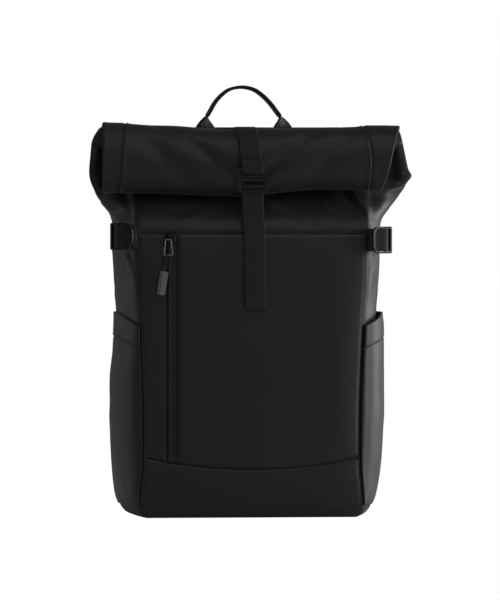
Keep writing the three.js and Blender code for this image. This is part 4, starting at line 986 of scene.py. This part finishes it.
def strap_levels():
    """Named lines and levels that the front strap's route refers to."""
    roll = ROLL_Y - ROLL_DEPTH / 2 - LAYER
    between = WEBBING_THICK + STRAP_CLEAR
    pocket = front_wall(0.5, row_at(TOP_SEAM)).y - LAYER
    lines = {
        "roll": roll,
        "hookFront": HOOK_FRONT - LAYER,
        "frontCorner": HOOK_FRONT - CORNER,
        "hookMiddle": (HOOK_FRONT + HOOK_REAR) / 2,
        "rearCorner": HOOK_REAR + CORNER,
        "hookRear": HOOK_REAR + LAYER,
        "secondLayer": HOOK_REAR + LAYER + between,
        "pocket": pocket,
        "overPocket": pocket - between,
    }
    levels = {
        "hookTop": HOOK_TOP,
        "topBar": TOP_BAR,
        "topBarCorner": TOP_BAR - CORNER,
        "underTopBar": TOP_BAR - LAYER,
        "lowBar": HOOK_LOW + HOOK_BAR,
        "hookLow": HOOK_LOW,
        "topSeam": TOP_SEAM,
    }
    return lines, levels


UPPER_ROUTE = (
    ("roll", 0.6, "hookTop", 18),
    ("roll", 3.2, "hookTop", 9.5),
    ("hookFront", -0.3, "hookTop", 3.5),
    ("hookFront", 0, "hookTop", 0),
    ("hookFront", 0, "topBar", 0.8),
    ("frontCorner", 0.05, "topBarCorner", -0.05),
    ("hookMiddle", 0, "underTopBar", -0.1),
    ("rearCorner", 0, "topBarCorner", 0),
    ("hookRear", 0, "topBar", 0.8),
    ("hookRear", 0, "hookTop", 0),
    ("roll", 0.5, "hookTop", 5),
    ("roll", 0, "hookTop", 11),
)
TAIL_ROUTE = (
    ("pocket", 0, "topSeam", -1),
    ("pocket", 0.5, "topSeam", 16),
    ("secondLayer", -0.4, "hookLow", -8),
    ("secondLayer", 0, "hookLow", 2),
    ("hookRear", -0.8, "lowBar", 3.0),
    ("hookRear", 0.4, "lowBar", 4.7),
    ("hookRear", 1.7, "lowBar", 4.9),
    ("hookRear", 2.4, "lowBar", 3.5),
    ("hookRear", 1.5, "lowBar", 2.2),
    ("hookRear", 0.1, "lowBar", 0.2),
    ("hookRear", 0, "hookLow", 1),
    ("hookRear", -0.4, "hookLow", -8),
    ("overPocket", 0.5, "topSeam", 16),
    ("overPocket", 0, "topSeam", -1),
)


def route_points(route, lines, levels):
    return [Vector((0, lines[line] - front, levels[level] + above)) for line, front, level, above in route]


def front_on(z):
    return front_wall(0.5, row_at(z)).y - LAYER


def add_front_straps():
    lines, levels = strap_levels()
    marks = [mark for mark in ROLL_MARKS if mark[0] < 62]
    over = []
    for i, (_, y, z) in enumerate(marks):
        (_, ya, za), (_, yb, zb) = marks[max(0, i - 1)], marks[min(len(marks) - 1, i + 1)]
        out = Vector((0, zb - za, ya - yb)).normalized()
        over.append(Vector((0, y, z - sag(STRAP_CENTRE, marks[i][0]))) + out * LAYER)
    upper = over + route_points(UPPER_ROUTE, lines, levels)
    # The free end hangs in front of the pocket, a little off it
    falls = ((lerp(TAIL_END, TOP_SEAM, 0.6), 0.6), (lerp(TAIL_END, TOP_SEAM, 0.25), 0.2))
    tail = route_points(TAIL_ROUTE, lines, levels) + [Vector((0, front_on(z) - c, z)) for z, c in falls]
    tail.append(Vector((0, front_on(TAIL_END) - 0.6, TAIL_END + 0.2)))
    for name, cad, route, count, breadth in (
        ("centre_strap_top", "centre_strap_upper", upper, 200, UPPER_STRAP_WIDTH),
        ("centre_strap_end", "centre_strap_tail", tail, 230, LOWER_STRAP_WIDTH),
    ):
        line = sampled(route, count)
        for p in line:
            p.x = STRAP_CENTRE + lean_at(p.z)
        wide = [Vector((1, 0, 0))] * count
        obj = webbing_mesh(name, line, wide, breadth, WEBBING_THICK, MATERIALS["strap"])
        stand_in(obj, cad, "webbing")


def merged_copy(cad, name, material, bevel, segments=3, rubbed=False):
    """A bevelled, detailed copy of a hard CAD piece."""
    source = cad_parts[cad]
    mesh = source.data.copy()
    mesh.name = name
    mesh.transform(source.matrix_world)
    bm = bmesh.new()
    bm.from_mesh(mesh)
    bmesh.ops.remove_doubles(bm, verts=bm.verts, dist=2e-5)
    bmesh.ops.dissolve_limit(bm, angle_limit=math.radians(3), verts=bm.verts, edges=bm.edges)
    bm.to_mesh(mesh)
    bm.free()
    mesh.materials.clear()
    mesh.materials.append(material)
    obj = add_to_scene(name, mesh)
    rounding = obj.modifiers.new("rounding", "BEVEL")
    # The bevels get the light painted-highlight colour, standing in for light caught along the edges
    if rubbed:
        mesh.materials.append(MATERIALS["rubbed"])
        rounding.material = 1
    rounding.width = bevel * MM
    rounding.segments = segments
    rounding.limit_method = "ANGLE"
    rounding.angle_limit = math.radians(28)
    rounding.harden_normals = True
    smooth_faces(mesh)
    return obj


def add_buckles():
    metal, plastic = MATERIALS["metal"], MATERIALS["plastic"]
    hook = merged_copy("hook_buckle", "hook", metal, 0.6, rubbed=True)
    stand_in(hook, "hook_buckle", "black_metal")
    for _, word in SIDES:
        buckle = merged_copy("side_buckle_" + word, "side_frame_" + word, metal, 0.6, rubbed=True)
        stand_in(buckle, "side_buckle_" + word, "black_metal")
        ladder = merged_copy("ladder_buckle_" + word, "ladder_" + word, plastic, 0.6)
        stand_in(ladder, "ladder_buckle_" + word, "black_plastic")


# Side buckles: places of their bars from their middle, and the webbing's route over these bars, as
# bar, shift along, face (1 outside, -1 inside) and distance further out
SIDE_BARS = {"round": -14.5, "middle": 4.0, "straight": 14.5}
FRAME_ROUTE = (
    ("round", -0.5, -1, 0),
    ("round", 6.5, -1, 0),
    ("middle", -1.6, 1, 0),
    ("middle", 1.6, 1, 0),
    ("straight", -2.5, -1, 0.4),
    ("straight", 0.8, -1, 0),
)


def add_side_strap(side, word):
    """Webbing from the front seam through its buckle, which lies at 45 degrees, to the back seam."""
    height = SIDE_STRAP_HEIGHT[side]
    angle = math.radians(45)
    out = (math.sin(angle), -math.cos(angle))
    along = (math.cos(angle), math.sin(angle))
    reach = 0.0
    for i in range(21):
        for z in (height - SIDE_WEBBING / 2, height, height + SIDE_WEBBING / 2):
            p = side_wall(side, i / 40, row_at(z))
            reach = max(reach, abs(p.x) * out[0] + p.y * out[1])
    seam = side_wall(side, 0, row_at(height))
    start = abs(seam.x) * along[0] + seam.y * along[1]
    far = reach + SIDE_FRAME_CLEAR + SIDE_FRAME_THICK / 2
    place = start + SIDE_FRAME_PLACE
    centre = (out[0] * far + along[0] * place, out[1] * far + along[1] * place)
    past = SIDE_FRAME_THICK / 2 + LAYER

    def line_at(z):
        row = row_at(z)
        first = side_wall(side, 0, row)
        points = [Vector((abs(first.x) + 0.6, first.y - LAYER, z))]
        for bar, shift, face, ease in FRAME_ROUTE:
            t, offset = SIDE_BARS[bar] + shift, face * past + ease
            x = centre[0] + along[0] * t + out[0] * offset
            y = centre[1] + along[1] * t + out[1] * offset
            points.append(Vector((x, y, z)))
        for share in (0.42, 0.5, 0.62, 0.75, 0.88, 0.985):
            a = side_wall(side, max(0.0, share - 0.01), row)
            b = side_wall(side, min(1.0, share + 0.01), row)
            normal = Vector((b.y - a.y, -side * (b.x - a.x), 0)).normalized()
            p = side_wall(side, share, row)
            points.append(Vector((abs(p.x), p.y, z)) + normal * (LAYER + SEAM_GAP))
        return [Vector((side * p.x, p.y, p.z)) for p in sampled(points, 150)]

    low, high = line_at(height - SIDE_WEBBING / 2), line_at(height + SIDE_WEBBING / 2)
    middle = [(a + b) / 2 for a, b in zip(low, high)]
    wide = [(b - a).normalized() for a, b in zip(low, high)]
    material = MATERIALS["side_strap"]
    obj = webbing_mesh("side_strap_of_" + word, middle, wide, SIDE_WEBBING, WEBBING_THICK, material)
    stand_in(obj, "side_strap_" + word, "webbing")


def add_side_straps():
    for side, word in SIDES:
        add_side_strap(side, word)


# Zip pull


def tube(name, line, radius, material, sides=16):
    points = []
    for k, p in enumerate(line):
        along = heading(line, k)
        a = Vector((0, 1, 0)).cross(along).normalized()
        b = along.cross(a).normalized()
        for i in range(sides):
            angle = 2 * math.pi * i / sides
            points.append(tuple(p + (a * math.cos(angle) + b * math.sin(angle)) * radius))
    return add_object(name, points, ring_faces(len(line), sides), material)


def box_mm(cad):
    return [Vector(corner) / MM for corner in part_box(cad)]


def add_ring():
    """Trapezoid wire ring with rounded corners."""
    low, high = box_mm("pull_ring")
    y, mid = (low.y + high.y) / 2, (low.x + high.x) / 2
    half, crown = (high.x - low.x) / 2 - RING_WIRE, (high.x - low.x) / 2 * 0.625 - 0.6
    foot, top = low.z + RING_WIRE, high.z - RING_WIRE
    corners = [Vector((mid + x, y, foot)) for x in (-half, half)]
    corners += [Vector((mid + x, y - 0.2, top)) for x in (crown, -crown)]
    line = []
    for i, corner in enumerate(corners):
        before, after = corners[i - 1], corners[(i + 1) % 4]
        first = corner + (before - corner).normalized() * RING_BEND
        second = corner + (after - corner).normalized() * RING_BEND
        line += [first, first.lerp(corner, 0.62), second.lerp(corner, 0.62), second]
    line += [line[0], line[1] * 0.02 + line[0] * 0.98]
    # Lighter metal on the ring: painted highlight
    stand_in(tube("ring", line, 0.78, MATERIALS["worn"], 12), "pull_ring", "black_metal")
    return y


def add_pull_cord(y):
    """Doubled cord from the ring to the grip."""
    low, high = box_mm("pull_cord")
    top, end = Vector((high.x - 1.2, y, high.z)), Vector((low.x + 1.2, y, low.z))
    up = (top - end).normalized()
    across = (top - end).cross(Vector((0, 1, 0))).normalized()

    def side(turn):
        steps = ((end - up * 1.5, 1.0), (end, 1.05), (end.lerp(top, 0.7), 0.85), (top, 0.75))
        return [p + across * (out * turn) for p, out in steps]

    over = top + up * 1.7 + Vector((0, -0.6, 0)) + across * 0.1
    line = sampled([*side(1), over, *reversed(side(-1))], 60)
    stand_in(tube("cord_loop", line, 0.7, MATERIALS["strap"], 12), "pull_cord", "webbing")


def add_zip_pull():
    slider = merged_copy("zip_slider", "slider", MATERIALS["metal"], 1.2, 4)
    stand_in(slider, "zip_slider", "black_metal")
    add_pull_cord(add_ring())
    grip = merged_copy("pull_grip", "grip", MATERIALS["rubber"], 0.9, 4)
    stand_in(grip, "pull_grip", "grey_rubber")
    low, high = box_mm("pull_grip")
    top = Vector((low.x + (high.x - low.x) * 0.26 + 1.9, low.y - 0.05, high.z - 1.4))
    foot = Vector((low.x + 2.1, low.y - 0.05, low.z + 1.6))
    line, wide = sampled([foot, top], 12), [Vector((1, 0, 0))] * 12
    ride_with(webbing_mesh("grip_line", line, wide, 0.8, 0.3, MATERIALS["plastic"], 4))


# Grab handle


# One arm of the handle: how far out from HANDLE_HALF, and the height as a share of its rise
HANDLE_ARM = (
    (2.5, -0.138), (2.5, 0), (2, 0.3), (0, 0.54), (-5, 0.66), (-11, 0.78), (-18, 0.88), (-27, 0.965),
)
HANDLE_LEAN = 2.8  # how far right its feet lie
HANDLE_BEND = 412  # height where this starts to fade
HANDLE_POINTS = 170


def add_handle():
    """Webbing loop: flat to the back where it is sewn on, turned level at its top."""
    top = HANDLE_TOP - HANDLE_THICK / 2
    back = back_line(row_at(lerp(HANDLE_FOOT, top, HANDLE_ARM[0][1]))) + HANDLE_THICK / 2
    half = [(HANDLE_HALF + out, lerp(HANDLE_FOOT, top, rise)) for out, rise in HANDLE_ARM]
    points = [Vector((-x, back, z)) for x, z in half] + [Vector((0, back, top))]
    points += [Vector((x, back, z)) for x, z in reversed(half)]
    for p in points:
        p.x += HANDLE_LEAN * (1 - smoothstep(p.z, HANDLE_BEND, top))
    line = sampled(points, HANDLE_POINTS)
    wide = []
    for k in range(HANDLE_POINTS):
        u = k / (HANDLE_POINTS - 1)
        along = heading(line, k)
        side = 1 if u < 0.5 else -1
        turn = smoothstep(min(u, 1 - u), 0.11, 0.21) * math.pi / 2
        flat = Vector((along.z, 0, -along.x)) * math.cos(turn)
        wide.append((flat + Vector((0, side, 0)) * math.sin(turn)) * side)
    obj = webbing_mesh("carry_loop", line, wide, WEBBING, HANDLE_THICK - 0.2, MATERIALS["strap"])
    stand_in(obj, "grab_handle", "webbing")


# Back and shoulder straps


PUFF_STEPS = 20


def puff(obj, voxel, cap):
    """Remeshes a pad and fills it by a short cloth simulation, moving no point further than cap."""
    remesh = obj.modifiers.new("remesh", "REMESH")
    remesh.mode = "VOXEL"
    remesh.voxel_size = voxel
    apply_modifiers(obj)
    mesh = obj.data
    count = len(mesh.vertices)
    start = np.empty(count * 3)
    mesh.vertices.foreach_get("co", start)
    cloth = obj.modifiers.new("cloth", "CLOTH")
    cloth.settings.quality = 4
    cloth.settings.use_pressure = True
    cloth.settings.uniform_pressure_force = 4
    cloth.settings.effector_weights.gravity = 0
    cloth.settings.tension_stiffness = 20
    cloth.settings.bending_stiffness = 0.8
    cloth.point_cache.frame_start = 1
    cloth.point_cache.frame_end = PUFF_STEPS
    for step in range(1, PUFF_STEPS + 1):
        bpy.context.scene.frame_set(step)
    apply_modifiers(obj)
    moved = np.empty(count * 3)
    obj.data.vertices.foreach_get("co", moved)
    shift = (moved - start).reshape(-1, 3)
    far = np.linalg.norm(shift, axis=1, keepdims=True)
    shift *= np.minimum(1.0, cap / np.maximum(far, 1e-9))
    obj.data.vertices.foreach_set("co", (start.reshape(-1, 3) + shift).ravel())
    bpy.context.scene.frame_set(1)
    even = obj.modifiers.new("even", "SMOOTH")
    even.factor = 0.5
    even.iterations = 8
    finer = obj.modifiers.new("finer", "SUBSURF")
    finer.levels = finer.render_levels = 1
    apply_modifiers(obj)
    smooth_faces(obj.data)


def apply_modifiers(obj):
    depsgraph = bpy.context.evaluated_depsgraph_get()
    mesh = bpy.data.meshes.new_from_object(obj.evaluated_get(depsgraph))
    old = obj.data
    obj.modifiers.clear()
    obj.data = mesh
    mesh.name = obj.name
    bpy.data.meshes.remove(old)


BACK_PAD = 7.2
PAD_EDGE = 0.16
CUSHION = {"apart": 58, "half": 42, "low": 66, "high": 318}
CUSHION_CHANNELS = (130, 192, 254)


def add_back():
    top = row_at(BACK_SEAM - 0.15)
    us, vs = spread(60, 0.4), spread(90, 0.3)
    outer, inner = [], []
    for v in vs:
        for u in us:
            p = back_wall(u, v * top)
            full = smoothstep(min(u, 1 - u), 0, PAD_EDGE) * smoothstep(min(v, 1 - v), 0, PAD_EDGE)
            outer.append((p.x, p.y - 0.4, p.z))
            inner.append((p.x, p.y - lerp(CLOTH, BACK_PAD, full), max(p.z, 1.2) if v > 0 else p.z))
    faces = sheet_faces(len(us), len(vs))
    shell = add_object("back_cloth", outer + inner, faces, MATERIALS["cloth"])
    stand_in(shell, "back_panel", "back_padding")
    for side, word in SIDES:
        pad = back_pad("back_pad_" + word, side * CUSHION["apart"])
        puff(pad, 0.004, 0.0025)
        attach(pad, "root")


def back_pad(name, x0):
    """Long cushion on the back, deepest at its middle and drawn in by cross channels."""
    centre_z, tall = (CUSHION["low"] + CUSHION["high"]) / 2, (CUSHION["high"] - CUSHION["low"]) / 2
    us, vs = spread(28, 0.8), spread(80, 0.5)

    def face(u, v, out):
        a, b = 2 * u - 1, 2 * v - 1
        x, z = x0 + a * CUSHION["half"], centre_z + b * tall
        bulge = (1 - abs(a) ** 3) * (1 - abs(b) ** 10)
        channel = min(1.0, sum(bell(z - at, 4) for at in CUSHION_CHANNELS))
        base = back_wall(0.5 + x / (BACK_WIDTH * 1.01), row_at(z)).y - 0.6
        return (x, base + out * max(0.0, 4.6 * bulge**0.6 * (1 - 0.55 * channel)), z)

    outer = [face(u, v, 1.0) for v in vs for u in us]
    inner = [face(u, v, -0.5) for v in vs for u in us]
    return add_object(name, outer + inner, sheet_faces(len(us), len(vs)), MATERIALS["mesh"])


def shoulder_centre(side, t):
    z = lerp(SHOULDER_TOP, SHOULDER_FOOT, t)
    back = back_wall(0.5 + side * 0.5 * SHOULDER_APART / BACK_WIDTH, row_at(z)).y
    bow = SHOULDER_BOW * math.sin(math.pi * t**0.85) ** 1.4
    splay = SHOULDER_SPLAY * smoothstep(t, 0, 1)
    return Vector((side * (SHOULDER_APART + splay), back + 0.6 + bow, z))


SHOULDER_WIDTH = 59
SHOULDER_OFF = 5.5  # from its line on the back to the strap's middle


def add_shoulder_straps():
    us, vs = spread(24, 0.8), spread(90)
    for side, word in SIDES:
        outer, inner = [], []
        for v in vs:
            ahead = shoulder_centre(side, min(1, v + 0.01)) - shoulder_centre(side, max(0, v - 0.01))
            out = Vector((0, -ahead.z, ahead.y)).normalized()
            width = SHOULDER_WIDTH * lerp(1, 0.72, smoothstep(v, 0.5, 1))
            end = smoothstep(min(v, 1 - v), 0, 0.05)
            for u in us:
                p = shoulder_centre(side, v)
                p.x += (u - 0.5) * width
                half = lerp(0.8, 4.3, math.sin(math.pi * min(1, max(0, u))) ** 0.4 * end)
                outer.append(tuple(p + out * (SHOULDER_OFF + half)))
                inner.append(tuple(p + out * (SHOULDER_OFF - half)))
        faces = sheet_faces(len(us), len(vs))
        pad = add_object("shoulder_pad_" + word, outer + inner, faces, MATERIALS["mesh"])
        puff(pad, 0.0038, 0.003)
        stand_in(pad, "shoulder_strap_" + word, "back_padding")
        add_lower_webbing(side, word)


LOWER_WEBBING = 20
LOWER_FOOT = 34
LADDER_THICK = 3


def add_lower_webbing(side, word):
    """Webbing from the foot of the back up through the ladder buckle, with a short free end."""
    end = shoulder_centre(side, 1)
    top = SHOULDER_FOOT - 0.6
    slot = top - 7.5
    y = end.y + SHOULDER_OFF
    back = back_wall(0.5 + side * 0.5 * SHOULDER_APART / BACK_WIDTH, row_at(LOWER_FOOT)).y + LAYER
    behind, outside = y - LADDER_THICK / 2, y + LADDER_THICK / 2
    points = [
        (back, LOWER_FOOT),
        (back + 1.2, LOWER_FOOT + 22),
        (behind - LAYER, top - 28),
        (behind - LAYER, slot - 1.5),
        (behind - CORNER, slot + CORNER),
        (y, slot + LAYER + 0.1),
        (outside + CORNER, slot + CORNER),
        (outside + LAYER, slot - 1.5),
        (outside + LAYER, top - 28),
        (outside + LAYER - 1, top - 62),
    ]
    line = sampled([Vector((end.x, a, z)) for a, z in points], 140)
    wide = [Vector((1, 0, 0))] * len(line)
    material = MATERIALS["strap"]
    obj = webbing_mesh("lower_strap_" + word, line, wide, LOWER_WEBBING, WEBBING_THICK, material)
    stand_in(obj, "lower_webbing_" + word, "webbing")


# Stitches


def stitch_tree():
    """Geometry Nodes tree: small threads set along a curve, each turned to follow it."""
    tree = bpy.data.node_groups.new("stitches", "GeometryNodeTree")
    sockets = tree.interface
    sockets.new_socket("Geometry", in_out="INPUT", socket_type="NodeSocketGeometry")
    for name, value in (("Spacing", 0.0036), ("Length", 0.0026), ("Thread Radius", 0.00032)):
        socket = sockets.new_socket(name, in_out="INPUT", socket_type="NodeSocketFloat")
        socket.default_value = value
    sockets.new_socket("Thread", in_out="INPUT", socket_type="NodeSocketMaterial")
    sockets.new_socket("Geometry", in_out="OUTPUT", socket_type="NodeSocketGeometry")
    new = tree.nodes.new
    source, result = new("NodeGroupInput"), new("NodeGroupOutput")
    curve = new("GeometryNodeMeshToCurve")
    spaced = new("GeometryNodeResampleCurve")
    spaced.mode = "LENGTH"
    points = new("GeometryNodeCurveToPoints")
    points.mode = "EVALUATED"
    thread = new("GeometryNodeMeshCylinder")
    thread.inputs["Vertices"].default_value = 6
    place = new("GeometryNodeInstanceOnPoints")
    real = new("GeometryNodeRealizeInstances")
    finish = new("GeometryNodeSetMaterial")
    for start, out, end, into in (
        (source, "Geometry", curve, "Mesh"),
        (curve, "Curve", spaced, "Curve"),
        (source, "Spacing", spaced, "Length"),
        (spaced, "Curve", points, "Curve"),
        (points, "Points", place, "Points"),
        (points, "Rotation", place, "Rotation"),
        (source, "Length", thread, "Depth"),
        (source, "Thread Radius", thread, "Radius"),
        (thread, "Mesh", place, "Instance"),
        (place, "Instances", real, "Geometry"),
        (real, "Geometry", finish, "Geometry"),
        (source, "Thread", finish, "Material"),
        (finish, "Geometry", result, "Geometry"),
    ):
        tree.links.new(start.outputs[out], end.inputs[into])
    return tree


THREAD = 0.3


def stitches(name, lines, tree, spacing=3.4, length=2.5):
    """One piece of thread along several lines of points in millimetres."""
    points, edges = [], []
    for line in lines:
        start = len(points)
        points += [tuple(c * MM for c in p) for p in line]
        edges += [(start + i, start + i + 1) for i in range(len(line) - 1)]
    mesh = bpy.data.meshes.new(name)
    mesh.from_pydata(points, edges, [])
    obj = add_to_scene(name, mesh)
    modifier = obj.modifiers.new("stitches", "NODES")
    modifier.node_group = tree
    values = {"Spacing": spacing * MM, "Length": length * MM, "Thread Radius": THREAD * MM}
    values["Thread"] = MATERIALS["thread"]
    for item in tree.interface.items_tree:
        if item.in_out == "INPUT" and item.name in values:
            modifier[item.identifier] = values[item.name]
    apply_modifiers(obj)
    ride_with(obj)


def on_front(x, z):
    row = row_at(z)
    p = front_wall(front_share(x, row), row)
    return Vector((p.x, p.y - 0.1, z))


def across_strap(y, z):
    middle = STRAP_CENTRE + lean_at(z)
    return [Vector((middle + x, y - WEBBING_THICK / 2, z)) for x in np.linspace(-11, 11, 12)]


def add_stitches():
    tree = stitch_tree()
    half = FRONT_WIDTH / 2
    heights = np.linspace(64, 296, 60)
    under_base = [on_front(x, base_seam(x) - 3.2) for x in np.linspace(-half * 0.975, half * 0.975, 70)]
    beside_zip = [[on_front(ZIP_CENTRE + shift, z) for z in heights] for shift in (8.2, -7.8)]
    over_pocket = [on_front(x, TOP_SEAM + 3.0) for x in np.linspace(-half * 0.99, half * 1.02, 70)]
    stitches("front_stitches", [under_base, *beside_zip, over_pocket], tree)
    low, high = TAIL_END + 18.5, HOOK_TOP + 11
    strap = [across_strap(front_on(low) - 0.15, low)]
    strap.append(across_strap(ROLL_Y - ROLL_DEPTH / 2 - LAYER - 3.3, high))
    stitches("strap_stitches", strap, tree, 2.6, 2.1)
    for side, word in SIDES:
        surface = pocket_surface(side)
        line = []
        for u in np.linspace(0.01, 0.97, 70):
            mouth = lerp(POCKET_TOP_FRONT, POCKET_TOP_SIDE, min(1.0, POCKET_SLOPE * u))
            foot = row_at(POCKET_FOOT)
            v = (row_at(mouth - POCKET_HEM + 1.8) - foot) / (row_at(mouth) - foot)
            p = surface(u, v)
            near = surface(min(1.0, u + 0.01), v) - surface(max(0.0, u - 0.01), v)
            out = Vector((near.y, -near.x, 0)).normalized()
            line.append(p + out * (0.15 if out.x * side > 0 else -0.15))
        stitches("pocket_stitches_" + word, [line], tree)


# Stage


def area_light(name, place, aim, size, tall, watts):
    light = bpy.data.lights.new(name, "AREA")
    light.shape = "RECTANGLE"
    light.size = size
    light.size_y = tall
    light.energy = watts
    obj = add_to_scene(name, light)
    obj.location = place
    obj.rotation_euler = (Vector(aim) - Vector(place)).to_track_quat("-Z", "Y").to_euler()


def seen_white(tree, shader, output):
    """The camera sees plain white, while the object is lit by the given shader."""
    path = node(tree, "ShaderNodeLightPath")
    white = node(tree, "ShaderNodeEmission")
    mix = node(tree, "ShaderNodeMixShader")
    tree.links.new(path.outputs["Is Camera Ray"], mix.inputs[0])
    tree.links.new(shader, mix.inputs[1])
    tree.links.new(white.outputs["Emission"], mix.inputs[2])
    tree.links.new(mix.outputs["Shader"], output.inputs["Surface"])


def add_stage(look):
    scene = bpy.context.scene
    floor = bpy.data.meshes.new("floor")
    floor.from_pydata([(-3, -1.5, 0), (3, -1.5, 0), (3, 2.5, 0), (-3, 2.5, 0)], [], [(0, 1, 2, 3)])
    pale, shader = new_material("pale_floor", (0.9, 0.9, 0.9), 0.9)
    seen_white(pale.node_tree, shader.outputs["BSDF"], pale.node_tree.nodes["Material Output"])
    floor.materials.append(pale)
    add_to_scene("floor", floor)
    world = bpy.data.worlds.new("studio")
    world.use_nodes = True
    dim = world.node_tree.nodes["Background"]
    dim.inputs["Color"].default_value = (1, 1, 1, 1)
    dim.inputs["Strength"].default_value = look.fill
    seen_white(world.node_tree, dim.outputs["Background"], world.node_tree.nodes["World Output"])
    scene.world = world
    scene.view_settings.view_transform = "Standard"
    area_light("key", (0.5, -2.1, 2.3), (0, 0, 0.3), 2.6, 2.6, look.key)
    area_light("side_right", (1.5, 0.8, 0.25), (0.1, 0, 0.2), 0.7, 1.4, look.side * 0.72)
    area_light("low_right", (1.8, -0.4, 0.25), (0.1, 0, 0.15), 0.3, 1.0, look.side * 0.85)
    area_light("side_left", (-1.5, 0.8, 0.3), (-0.1, 0, 0.22), 0.7, 1.4, look.side * 0.08)
    add_camera(look)


PICTURE_WIDTH = 0.639  # metres that the picture shows across the bag


def add_camera(look):
    turn, rise = math.radians(look.azimuth), math.radians(look.elevation)
    back_way = Vector((math.sin(turn) * math.cos(rise), -math.cos(turn) * math.cos(rise), math.sin(rise)))
    camera = bpy.data.cameras.new("camera")
    camera.sensor_width = 36
    camera.lens = camera.sensor_width * look.distance / PICTURE_WIDTH
    camera.clip_end = 20
    eye = add_to_scene("camera", camera)
    eye.location = Vector((0.003, 0, 0.2288)) + back_way * look.distance
    eye.rotation_euler = (-back_way).to_track_quat("-Z", "Y").to_euler()
    bpy.context.scene.camera = eye


# Add-on


def shade(name, about, value):
    return FloatVectorProperty(name=name, description=about, subtype="COLOR", default=value)


def number(name, about, value, low=-360.0):
    return FloatProperty(name=name, description=about, default=value, min=low)


class BackpackColors(bpy.types.PropertyGroup):
    """Colours of the cloth, webbing and fittings."""

    cloth: shade("Cloth", "Coated cloth of the body", (0.0113, 0.012, 0.0136))
    webbing: shade("Webbing", "Straps and handle", (0.0052, 0.0072, 0.0105))
    zip_tape: shade("Zip tape", "Coated strip of the zip", (0.0065, 0.0085, 0.0115))
    padding: shade("Padding", "Mesh cloth on the back and straps", (0.012, 0.0125, 0.0135))
    metal: shade("Metal", "Coated buckles and slider", (0.012, 0.015, 0.02))
    # Edges: a light colour painted on the metal's bevels and on the ring, as painted highlight
    edges: shade("Edges", "Highlit edges of the metal, and the ring", (0.36, 0.37, 0.39))
    plastic: shade("Plastic", "Ladder buckles", (0.008, 0.009, 0.01))
    grip: shade("Grip", "Rubber grip of the zip", (0.12, 0.128, 0.132))
    thread: shade("Thread", "Stitches", (0.006, 0.0075, 0.0095))


class BackpackStage(bpy.types.PropertyGroup):
    """Camera and lights."""

    azimuth: number("Azimuth", "Camera turned about the bag, in degrees", -5.3)
    elevation: number("Elevation", "Camera above the horizon, in degrees", 1.0)
    distance: number("Distance", "Metres from the camera to the bag's middle", 6.0, 1.0)
    fill: number("Fill", "Strength of the light from all sides", 0.13, 0.0)
    key: number("Key light", "Watts of the large front light", 16.0, 0.0)
    side: number("Side lights", "Watts that the lights at the sides are shares of", 16.0, 0.0)


class BackpackStep:
    """Runs the functions that make one group of pieces."""

    steps = ()

    def execute(self, context):
        for step in self.steps:
            step()
        return {"FINISHED"}


class BackpackShellOperator(BackpackStep, bpy.types.Operator):
    """Front, sides, pockets and bottom"""

    bl_idname = "backpack.shell"
    bl_label = "Shell"
    steps = (add_front, add_zip, add_sides, add_pockets, add_bottom)


class BackpackRollOperator(BackpackStep, bpy.types.Operator):
    """Rolled closure and its folded ends"""

    bl_idname = "backpack.roll"
    bl_label = "Roll"
    steps = (add_roll,)


class BackpackStrapsOperator(BackpackStep, bpy.types.Operator):
    """Front and side straps"""

    bl_idname = "backpack.straps"
    bl_label = "Straps"
    steps = (add_front_straps, add_side_straps)


class BackpackFittingsOperator(BackpackStep, bpy.types.Operator):
    """Buckles, slider, ring, cord and grip"""

    bl_idname = "backpack.fittings"
    bl_label = "Fittings"
    steps = (add_buckles, add_zip_pull)


class BackpackHandleOperator(BackpackStep, bpy.types.Operator):
    """Webbing loop over the back seam"""

    bl_idname = "backpack.handle"
    bl_label = "Grab handle"
    steps = (add_handle,)


class BackpackBackOperator(BackpackStep, bpy.types.Operator):
    """Padded back and shoulder straps with their lower webbing"""

    bl_idname = "backpack.back"
    bl_label = "Back"
    steps = (add_back, add_shoulder_straps)


class BackpackStitchesOperator(BackpackStep, bpy.types.Operator):
    """Rows of thread along the seams"""

    bl_idname = "backpack.stitches"
    bl_label = "Stitches"
    steps = (add_stitches,)


class BackpackStageOperator(bpy.types.Operator):
    """Floor, lights and camera"""

    bl_idname = "backpack.stage"
    bl_label = "Stage"

    def execute(self, context):
        add_stage(context.scene.backpack_stage)
        return {"FINISHED"}


OPERATORS = (
    BackpackShellOperator,
    BackpackRollOperator,
    BackpackStrapsOperator,
    BackpackFittingsOperator,
    BackpackHandleOperator,
    BackpackBackOperator,
    BackpackStitchesOperator,
    BackpackStageOperator,
)


class BackpackPanel(bpy.types.Panel):
    """Lists the pieces, colours and stage of the backpack"""

    bl_idname = "VIEW3D_PT_backpack"
    bl_label = "Rolltop Backpack"
    bl_space_type = "VIEW_3D"
    bl_region_type = "UI"
    bl_category = "Backpack"

    def draw(self, context):
        layout = self.layout
        for group in (context.scene.backpack_colors, context.scene.backpack_stage):
            box = layout.box()
            for name in group.__annotations__:
                box.prop(group, name)
        for operator in OPERATORS:
            layout.operator(operator.bl_idname)


CLASSES = (BackpackColors, BackpackStage, *OPERATORS, BackpackPanel)


def register():
    for cls in CLASSES:
        bpy.utils.register_class(cls)
    bpy.types.Scene.backpack_colors = PointerProperty(type=BackpackColors)
    bpy.types.Scene.backpack_stage = PointerProperty(type=BackpackStage)


def unregister():
    del bpy.types.Scene.backpack_stage
    del bpy.types.Scene.backpack_colors
    for cls in reversed(CLASSES):
        bpy.utils.unregister_class(cls)


def main():
    register()
    make_materials(bpy.context.scene.backpack_colors)
    bpy.ops.backpack.shell()
    bpy.ops.backpack.roll()
    bpy.ops.backpack.straps()
    bpy.ops.backpack.fittings()
    bpy.ops.backpack.handle()
    bpy.ops.backpack.back()
    bpy.ops.backpack.stitches()
    bpy.ops.backpack.stage()


if __name__ == "__main__":
    main()
